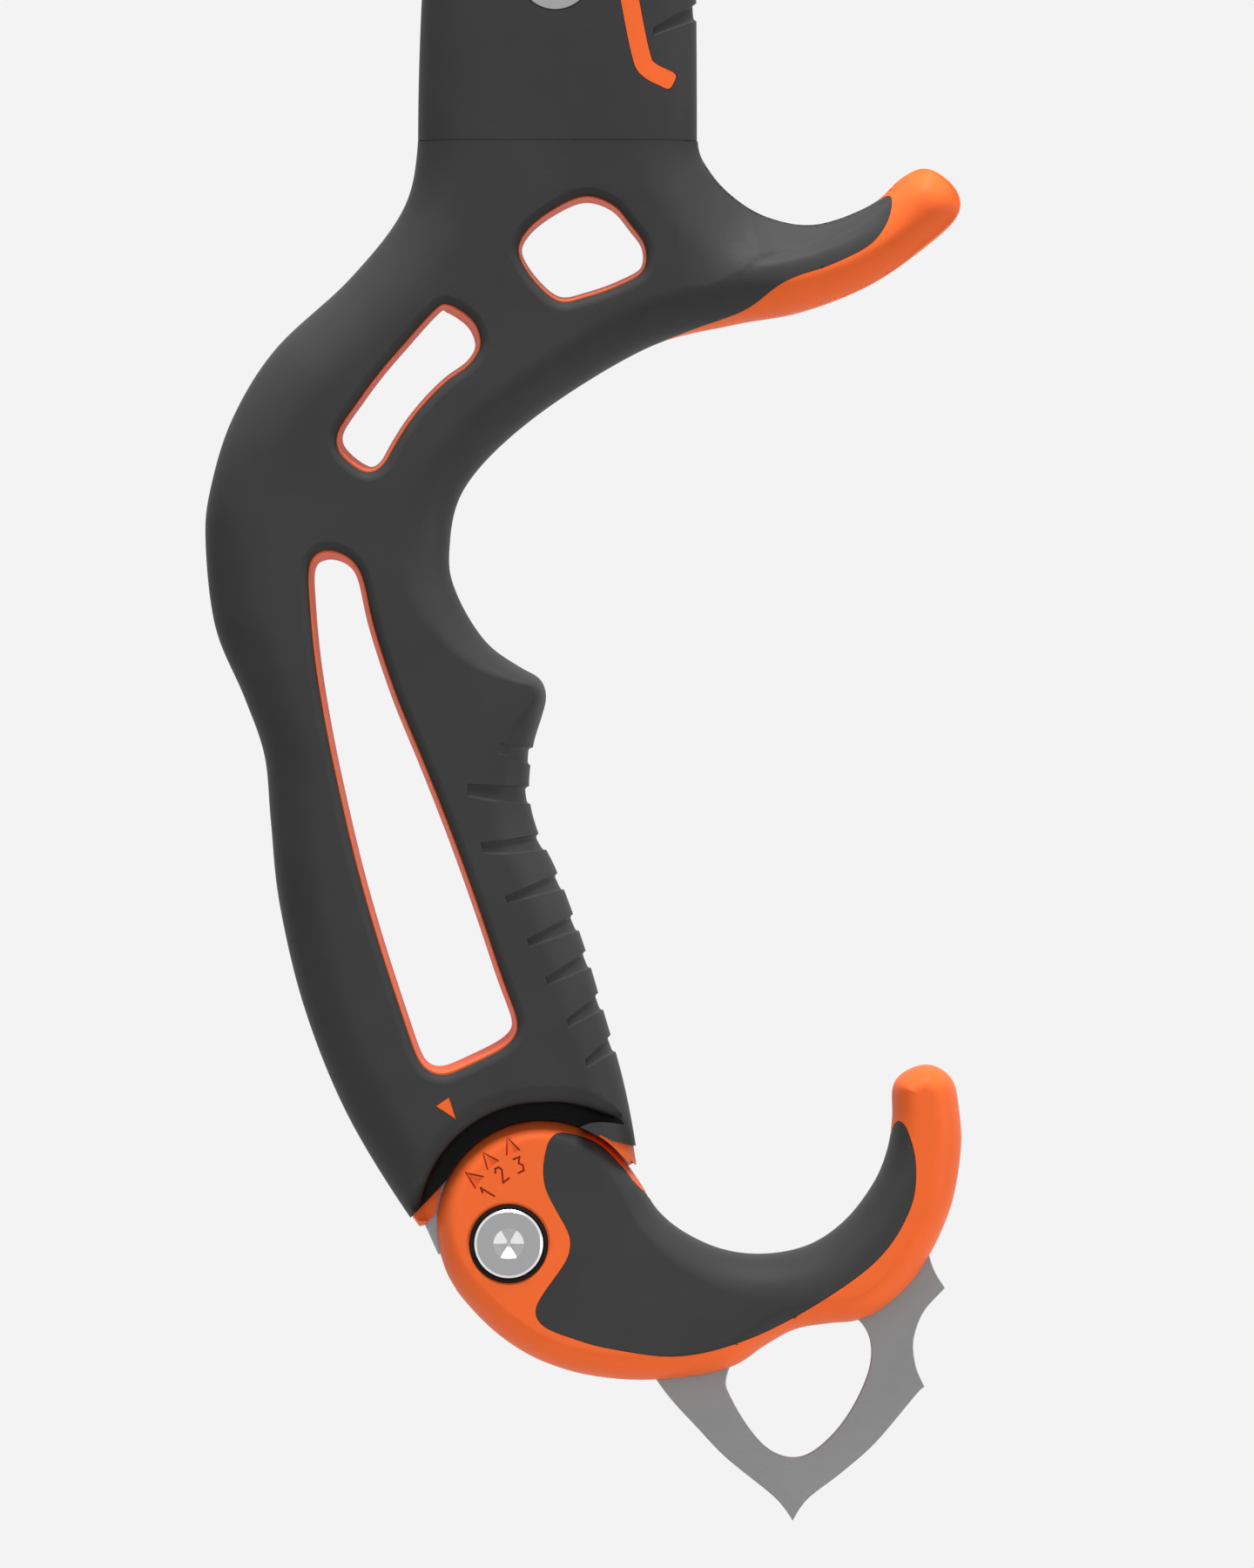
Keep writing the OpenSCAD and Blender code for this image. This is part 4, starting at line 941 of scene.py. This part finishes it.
# clamp bolt: turned head with a broad chamfer and a socket whose six flats run down to a point
def makeClampBolt():
    b = clampBolt
    r, face, seat, shank, rim = b["headRadius"], b["face"], b["seat"], b["shank"], b["chamfer"]
    bolt = solid("clampBolt", turned(clampSpot, [
        (r - rim, face), (r - 0.06, face + rim * 0.7), (r, face + rim * 0.8), (r, seat - 0.2), (r - 0.2, seat),
        (shank, seat + 0.01), (shank, b["end"] - b["endRim"]), (shank - b["endRim"], b["end"])], 128))
    levels = [(b["mouth"], -15.0), (b["mouth"], face), (1.0, face + 0.12), (0.02, face + b["socketDeep"])]
    cut(bolt, ringStack([lifted(hexagon(clampSpot, b["socket"] * scale), y) for scale, y in levels]))
    finishPiece(bolt, "clamp_bolt", turnedFaceMaterial(clampSpot), "clamp_bolt", 20)


# profiles hold a radius and a height
boltRing = dict(outside=[(7.05, -12.0), (7.45, -11.8), (7.5, -11.5), (7.5, -8.42)],
                inside=[(7.0, -14), (6.95, -12.0), (6.62, -11.6), (6.62, -7)])


def makeBoltRing():
    ring = solid("boltRing", turned(clampSpot, boltRing["outside"], 128))
    cut(ring, turned(clampSpot, boltRing["inside"], 128))
    finishPiece(ring, "pommel", ringDark, "bolt_ring")


# hex head or nut: hexagon whose corners are turned off at one or both ends
def hexPiece(name, spot, acrossFlats, low, high, turn=0.0, bevelHigh=True):
    r = acrossFlats / np.sqrt(3) + 0.01
    bevel = acrossFlats * 0.055
    edge = acrossFlats * 0.475
    profile = [(edge, low), (r, low + bevel)] + ([(r, high - bevel), (edge, high)] if bevelHigh else [(r, high)])
    return keepInside(solid(name, prism(hexagon(spot, acrossFlats, turn), low, high)), turned(spot, profile))


clampNut = dict(flats=10.0, low=7.0, high=11.7, inside=[(3.05, 5), (3.05, 11.2), (3.7, 11.71), (3.7, 13)])


def makeClampNut():
    k = clampNut
    nut = cut(hexPiece("clampNut", clampSpot, k["flats"], k["low"], k["high"]), turned(clampSpot, k["inside"], 64))
    finishPiece(nut, "pommel", boltMetal, "clamp_nut", 25)


pointerLevels = [(0.0, 12.25), (0.0, 12.8), (-0.12, 12.93)]  # outline moved out by, height


def makePointers():
    arrow = brokenLine(pointerLine, 0.5)
    pointers = solid("positionPointers", *[
        ringStack([lifted(offsetCurve(arrow, d), side * y) for d, y in pointerLevels]) for side in (-1, 1)])
    finishPiece(pointers, "handle", coreOrange, "position_pointers", 40)


makeSpike()
makeTang()
makeClampBolt()
makeBoltRing()
makeClampNut()
makePointers()
print("stage: plates and clamp made")


# axis, depth, thickness and edge of the shaft's section at its low and top end
shaftForm = dict(low=146.0, top=338.0, gripTop=258.0, axis=(25.7, 31.0), depth=(53.4, 38.0), thick=(26.0, 23.6),
                 edge=(13.0, 12.5), sleeve=1.8, wall=2.0, gripRim=1.3, gap=0.05, past=2.0)
stripe = dict(width=3.5, deep=0.8, tail=1.2, bedGap=0.07, inset=0.03, sunk=0.05, clear=0.02, path=[
    [46.9, 157.5], [43.2, 159.4], [41.7, 162.2], [39.5, 173], [36.4, 190], [34.2, 206], [33.4, 236]])
upperGroove = dict(ends=[[44, 167], [53, 171]], pitch=8.5, count=5)
shaftBolt = dict(spot=(25.3, 178.0), radius=7.2, face=13.0, dome=0.5, seat=11.2, shank=3.0, end=11.15, socket=5.0,
                 socketFloor=11.4, nutSeat=11.22, nutSocketFloor=11.8, seatRadius=7.3, tubeBore=3.1)
headPin = dict(spots=[[25.0, 326.0], [36.0, 314.0]], radius=2.5, half=9.2,
               holeUpper=[(2.55, 9.4), (2.9, 9.75), (2.9, 14)])


# shaft section at height z: the eased share of the way up blends axis, depth, thickness and edge
def shaftSizes(z):
    f = shaftForm
    s = eased(np.asarray(z, float), (f["low"], f["top"]))
    axis, depth, thick, edge = (f[key][0] + (f[key][1] - f[key][0]) * s for key in ("axis", "depth", "thick", "edge"))
    return axis, depth / 2, thick / 2, edge


# oval ring at height z, depth below the grip's surface: two half ellipses joined by flat sides
def shaftOval(z, depth, steps=40):
    axis, half, thick, edge = shaftSizes(z)
    a = np.radians(np.linspace(-90, 90, steps))
    x = half - depth - (edge - depth) * (1 - np.cos(a))
    y = (thick - depth) * np.sin(a)
    return np.stack([np.r_[axis + x, axis - x], np.r_[y, -y], np.full(2 * steps, z)], 1)


def shaftLoft(levels):
    return ringStack([shaftOval(z, d) for z, d in levels])


def evenLevels(z0, z1, depth, count=60):
    return [(z, depth) for z in np.linspace(z0, z1, count)]


# inside of the shaft's form from below the seam to past the given top
def shaftInside(top, depth):
    return shaftLoft(evenLevels(shaftForm["low"] - shaftForm["past"], top + shaftForm["past"], depth))


# band of even width along a smooth path with a blunt, softly cornered end
def stripeBand(grow):
    line = openCubics(np.array(stripe["path"], float), 14)
    run = np.gradient(line, axis=0)
    run /= np.linalg.norm(run, axis=1, keepdims=True)
    side = np.stack([-run[:, 1], run[:, 0]], 1) * (stripe["width"] / 2 + grow)
    tail = stripe["tail"] + grow
    line = np.vstack([line[:1] - run[:1] * tail, line, line[-1:] + run[-1:] * tail])
    side = np.vstack([side[:1], side, side[-1:]])
    band = counterClockwise(blurred(brokenLine(np.vstack([line - side, (line + side)[::-1]]), 0.4), 6))
    return prism(band, -30, 30)


def makeUpperGrip():
    f, rim = shaftForm, shaftForm["gripRim"]
    top = [(f["gripTop"] - rim * (1 - np.sin(v)), rim * (1 - np.cos(v))) for v in np.radians(np.linspace(0, 85, 7))]
    side = evenLevels(f["low"] + 1, f["gripTop"] - 2, 0.0, 70)
    grip = solid("upperGrip", shaftLoft([(f["low"] + f["gap"], 0.0)] + side + top))
    cut(grip, shaftInside(f["gripTop"], f["sleeve"] - f["gap"]))
    z = np.linspace(f["low"], f["gripTop"], 160)
    axis, half, thick, edge = shaftSizes(z)
    front = np.stack([axis + half, z], 1)
    for k in range(upperGroove["count"]):
        ends = np.array(upperGroove["ends"], float) + [0, upperGroove["pitch"] * k]
        cut(grip, grooveCutter(front, edge, thick, ends, handle["grooveFade"], False))
    bed = cut(solid("tool", stripeBand(stripe["bedGap"])), shaftInside(f["gripTop"], stripe["deep"]))
    combine(grip, bed, "DIFFERENCE")
    cut(grip, bore(shaftBolt["spot"], shaftBolt["seatRadius"], 96))
    finishPiece(grip, "handle", softGrip, "upper_grip")


def makeStripe():
    f = shaftForm
    inlay = solid("stripeInlays", shaftLoft(evenLevels(f["low"] + 1, f["gripTop"] - 2, stripe["sunk"], 70)))
    keepInside(inlay, stripeBand(-stripe["inset"]))
    cut(inlay, shaftInside(f["gripTop"], stripe["deep"] + stripe["clear"]))
    finishPiece(inlay, "handle", coreOrange, "stripe_inlays")


def makeShaft():
    f = shaftForm
    d = f["sleeve"]
    tube = solid("shaft", shaftLoft(evenLevels(f["low"] + 0.2, f["top"] - 0.8, d, 80) + [(f["top"], d + 0.5)]))
    cut(tube, shaftInside(f["top"], d + f["wall"]))
    upper = headPin["holeUpper"]
    for spot in headPin["spots"]:
        cut(tube, turned(spot, [(r, -y) for r, y in upper[::-1]] + upper, 48))
    cut(tube, bore(shaftBolt["spot"], shaftBolt["tubeBore"]))
    finishPiece(tube, "handle", shaftMetal, "shaft")


# shaft bolt and its sleeve nut: low domed discs, each with a hex socket
def makeShaftBolt():
    b = shaftBolt
    spot, r, shank = b["spot"], b["radius"], b["shank"]
    a = np.radians(np.linspace(4, 88, 12))
    dome = [(r * np.sin(v), b["face"] - b["dome"] * (1 - np.cos(v))) for v in a]
    head = [(s, -y) for s, y in dome + [(r, b["seat"]), (shank, b["seat"] - 0.01)]]
    bolt = solid("shaftBolt", turned(spot, head + [(shank, b["end"])], 128))
    cut(bolt, prism(hexagon(spot, b["socket"]), -16, -b["socketFloor"]))
    finishPiece(bolt, "handle", boltMetal, "shaft_bolt", 25)
    nut = solid("shaftBoltNut", turned(spot, [(r, b["nutSeat"])] + dome[::-1], 128))
    cut(nut, prism(hexagon(spot, b["socket"]), b["nutSocketFloor"], 16))
    finishPiece(nut, "handle", boltMetal, "shaft_bolt_nut", 25)


makeUpperGrip()
makeStripe()
makeShaft()
makeShaftBolt()
print("stage: shaft made")


# head lines are measured up from the top of the shaft
headPiece = dict(half=11.0, top=338.0, rim=3.2, slotFloor=19.5, slotHalf=2.05, eye=(30, 348.5), eyeRadius=6.5,
                 eyeRim=1.4, seat=[(6.4, 7.0), (6.4, 10.5), (7.0, 11.01), (7.0, 14)], boltBore=3.05)
headLine = [[14, 0], [25.3, 0], [36.7, 0], [48, 0], [51, 10], [59, 17.5], [68, 21], [74, 26], [73.6, 34], [66, 39.4],
            [50, 42], [30, 42.6], [12, 40.4], [0, 36], [-1.6, 26], [4, 16], [10.4, 9]]
headBoltSpots = [[56, 368], [36, 369], [14, 368]]
pickPlate = dict(half=2.0, rim=0.45, root=70.0, lift=38.0, tail=27.0, tip=(205.0, -38.0), underTip=(6, 1),
                 topBend=((92, 39), (160, 26)), lowBend=((100, 22), (150, 12)), clear=0.05,
                 teeth=14, toothDepth=2.6, firstTooth=0.04, toothed=0.94, toothTip=0.75, toothFoot=0.2)
hammer = dict(tongueHalf=2.0, tongueRim=0.3, faceHalf=7.5, faceRim=1.3,
              tongue=[[26.6, 19.9], [26.6, 38], [-6, 34], [-6, 24], [0, 19.9]],
              face=[[-3.2, 36.5], [-10, 37.5], [-16, 41], [-20, 41], [-20, 16.5], [-16, 16.5], [-10, 20.5], [-3.2, 23]])


# forged head: plate with a broad rolled rim, pick slot, clip eye and sunk seats for the bolts
def makeHead():
    h = headPiece
    top, floor = h["top"], h["top"] + h["slotFloor"]
    curve = closedCurve(np.array(headLine) + [0, top], 300, 3)
    head = solid("head", rimmedPlate(curve, h["half"], h["rim"], 8))
    eye = easedHole(circle(h["eye"], h["eyeRadius"]), h["half"], h["eyeRim"], 7)
    cut(head, block((-60, top - 40), (120, top), 60), eye, block((-60, floor), (120, 420), 60, h["slotHalf"]))
    for spot in headBoltSpots:
        for side in (-1, 1):
            cut(head, turned(spot, [(r, side * y) for r, y in h["seat"]]))
        cut(head, bore(spot, h["boltBore"]))
    finishPiece(head, "handle", headMetal, "head")


def bezier(a, b, c, d, t):
    a, b, c, d = (np.array(q, float) for q in (a, b, c, d))
    t = np.asarray(t)[:, None]
    return a * (1 - t)**3 + 3 * b * t * (1 - t)**2 + 3 * c * t**2 * (1 - t) + d * t**3


# pick outline: smooth upper curve out to the tip, and teeth stepped along the lower curve on the way back
def makePick():
    k = pickPlate
    floor = headPiece["slotFloor"]
    tip = np.array(k["tip"])
    upper = bezier((k["root"], k["lift"]), *k["topBend"], tip, np.linspace(0, 1, 60))
    low = lambda t: bezier((k["root"], floor + 1), *k["lowBend"], tip - k["underTip"], t)
    step = k["toothed"] / k["teeth"]
    start = k["firstTooth"] + step * np.arange(k["teeth"])[::-1]
    peak = start + step * k["toothTip"]
    run = low(peak + step * 0.01) - low(peak - step * 0.01)
    out = np.stack([run[:, 1], -run[:, 0]], 1)
    out *= k["toothDepth"] / np.linalg.norm(out, axis=1, keepdims=True)
    teeth = np.stack([low(start + step), low(peak) + out, low(start + step * k["toothFoot"])], 1).reshape(-1, 2)
    back = [[k["tail"], floor + k["clear"]], [k["tail"], k["lift"] + 1], [k["root"] - 8, k["lift"]]]
    line = np.vstack([back, upper, teeth, [[k["root"], floor + k["clear"]]]])
    curve = brokenLine(counterClockwise(line) + [0, headPiece["top"]], 0.8)
    pick = solid("pick", rimmedPlate(curve, k["half"], k["rim"], 3))
    cut(pick, *[bore(spot, headPiece["boltBore"]) for spot in headBoltSpots[:2]])
    finishPiece(pick, "handle", bladeSteel, "pick", 12)


def makeHammer():
    h = hammer
    tongue, face = (brokenLine(counterClockwise(h[key]) + [0, headPiece["top"]], 0.8) for key in ("tongue", "face"))
    piece = solid("hammer", rimmedPlate(tongue, h["tongueHalf"], h["tongueRim"]),
                  rimmedPlate(face, h["faceHalf"], h["faceRim"], 6))
    cut(piece, bore(headBoltSpots[2], headPiece["boltBore"]))
    finishPiece(piece, "handle", headMetal, "hammer", 30)


headFastener = dict(flats=10.0, seat=7.0, face=11.0, boltTurn=12.0, nutTurn=20.0,
                    shank=[(3.0, -7.2), (3.0, 10.1), (2.6, 10.5)],
                    nutInside=[(3.05, 5), (3.05, 10.4), (3.6, 11.01), (3.6, 13)])


# head bolts and their nuts, each set turned a little further than the one before
def makeHeadFasteners():
    f = headFastener
    bolts, nuts = None, None
    for k, spot in enumerate(headBoltSpots):
        bolt = hexPiece("headBolts" if k == 0 else "tool", spot, f["flats"], -f["face"], -f["seat"],
                        f["boltTurn"] * k, False)
        combine(bolt, solid("tool", turned(spot, f["shank"], 64)), "UNION")
        nut = hexPiece("headNuts" if k == 0 else "tool", spot, f["flats"], f["seat"], f["face"], f["nutTurn"] * k)
        cut(nut, turned(spot, f["nutInside"], 64))
        bolts = bolt if bolts is None else combine(bolts, bolt, "UNION")
        nuts = nut if nuts is None else combine(nuts, nut, "UNION")
    finishPiece(bolts, "handle", boltMetal, "head_bolts", 25)
    finishPiece(nuts, "handle", boltMetal, "head_nuts", 25)


# pins: short turned bars with eased ends
def makePins(name, body, node, spots, r, half, rim=0.4):
    profile = [(r - rim, -half), (r, rim - half), (r, half - rim), (r - rim, half)]
    pins = solid(name, *[turned(spot, profile, 48) for spot in spots])
    finishPiece(pins, body, boltMetal, node)


makeHead()
makePick()
makeHammer()
makeHeadFasteners()
makePins("headPins", "handle", "head_pins", headPin["spots"], headPin["radius"], headPin["half"])
makePins("tangPins", "handle", "tang_pins", [[-16.4, -4], [26.6, -17]], 2.0, 8.6)
makePins("spikePins", "pommel", "spike_pins", [[54, -79.5], [88, -69.5]], 2.0, 7.6)
makePins("pivotPin", "pommel", "pivot_pin", [pommelCentre], 2.2, 6.2)
print("stage: head made")


stageLook = dict(back=0.896, fill=0.042, fillLobe=1.95, fillAim=(-0.08, -0.98, 0.18))
paleFloor = dict(centre=0.03, height=-0.18, radius=0.45, rings=12, around=72, grey=(0.525, 0.555), grain=400.0)
photoCamera = dict(eye=(0.039, -6.0, 0.023), sensor=24, lens=480, clipEnd=50)
lamps = dict(above=dict(spot=(0.05, -0.17, 1.4), turn=(0.12, 0.035, 0), size=0.8, power=42.0),
             right=dict(spot=(1.4, 0.0, -0.1), turn=(0, 1.68, 0), size=0.6, power=7.5))


# backdrop: even and pale to the camera, and a soft glow from before and behind as light
def makeWorld(scene):
    world = bpy.data.worlds.new("studio")
    scene.world = world
    world.use_nodes = True
    tree = world.node_tree
    tree.nodes.clear()
    path = tree.nodes.new("ShaderNodeLightPath")
    camera, glossy, passing = (Wire(tree, path.outputs[kind]) for kind in (
        "Is Camera Ray", "Is Glossy Ray", "Is Transmission Ray"))
    seen = camera.maths("MAXIMUM", camera.maths("MAXIMUM", camera, glossy), passing)
    shown = seen.node("ShaderNodeBackground", {}, {"Color": grey(stageLook["back"]), "Strength": 1.0})
    aim = seen.node("ShaderNodeTexCoord", out=0)
    facing = aim.node("ShaderNodeVectorMath", {"operation": "DOT_PRODUCT"}, {0: aim, 1: stageLook["fillAim"]}, 1)
    wide = (facing * facing) * (facing * facing)
    level = wide * wide * stageLook["fillLobe"] + stageLook["fill"]
    glow = seen.node("ShaderNodeBackground", {}, {"Color": grey(1.0), "Strength": level})
    mixed = seen.node("ShaderNodeMixShader", {}, {0: seen, 1: glow, 2: shown})
    tree.links.new(mixed.socket, tree.nodes.new("ShaderNodeOutputWorld").inputs["Surface"])


# camera: level, far off and long, as the photo shows no perspective
def makeCamera(scene):
    camera = bpy.data.cameras.new("photoCamera")
    camera.sensor_fit = "VERTICAL"
    camera.sensor_height = photoCamera["sensor"]
    camera.lens = photoCamera["lens"]
    camera.clip_end = photoCamera["clipEnd"]
    eye = bpy.data.objects.new("photoCamera", camera)
    eye.location = photoCamera["eye"]
    eye.rotation_euler = (np.pi / 2, 0, 0)
    scene.collection.objects.link(eye)
    scene.camera = eye


# floor: a pale disc of rings that lies below the view
def makeFloor():
    f = paleFloor
    turn = np.linspace(0, 2 * np.pi, f["around"], endpoint=False)
    level = np.full(f["around"], f["height"])
    rings = [np.stack([f["centre"] + r * np.cos(turn), r * np.sin(turn), level], 1) / mm
             for r in np.linspace(0.002, f["radius"], f["rings"])]
    verts, quads, _ = ringStack(rings)
    floor = meshObject("paleFloor", (verts, quads, [np.arange(f["around"])]))
    paper, shader, place = startMaterial("palePaper", {"Roughness": 0.9, "Specular IOR Level": 0.2})
    feed(shader, {"Base Color": spreadOut(noise(place, f["grain"])).blend(*(grey(v) for v in f["grey"]))})
    floor.data.materials.append(paper)


# light: a large soft lamp above and a weak one, low at the right
def makeLamps(scene):
    for name, look in lamps.items():
        lamp = bpy.data.lights.new(name, "AREA")
        lamp.size = look["size"]
        lamp.energy = look["power"]
        obj = bpy.data.objects.new(name, lamp)
        obj.location = look["spot"]
        obj.rotation_euler = look["turn"]
        scene.collection.objects.link(obj)


stageScene = bpy.context.scene
stageScene.view_settings.view_transform = "Standard"
makeWorld(stageScene)
makeCamera(stageScene)
makeFloor()
makeLamps(stageScene)
print("stage: backdrop, camera and lamps made")
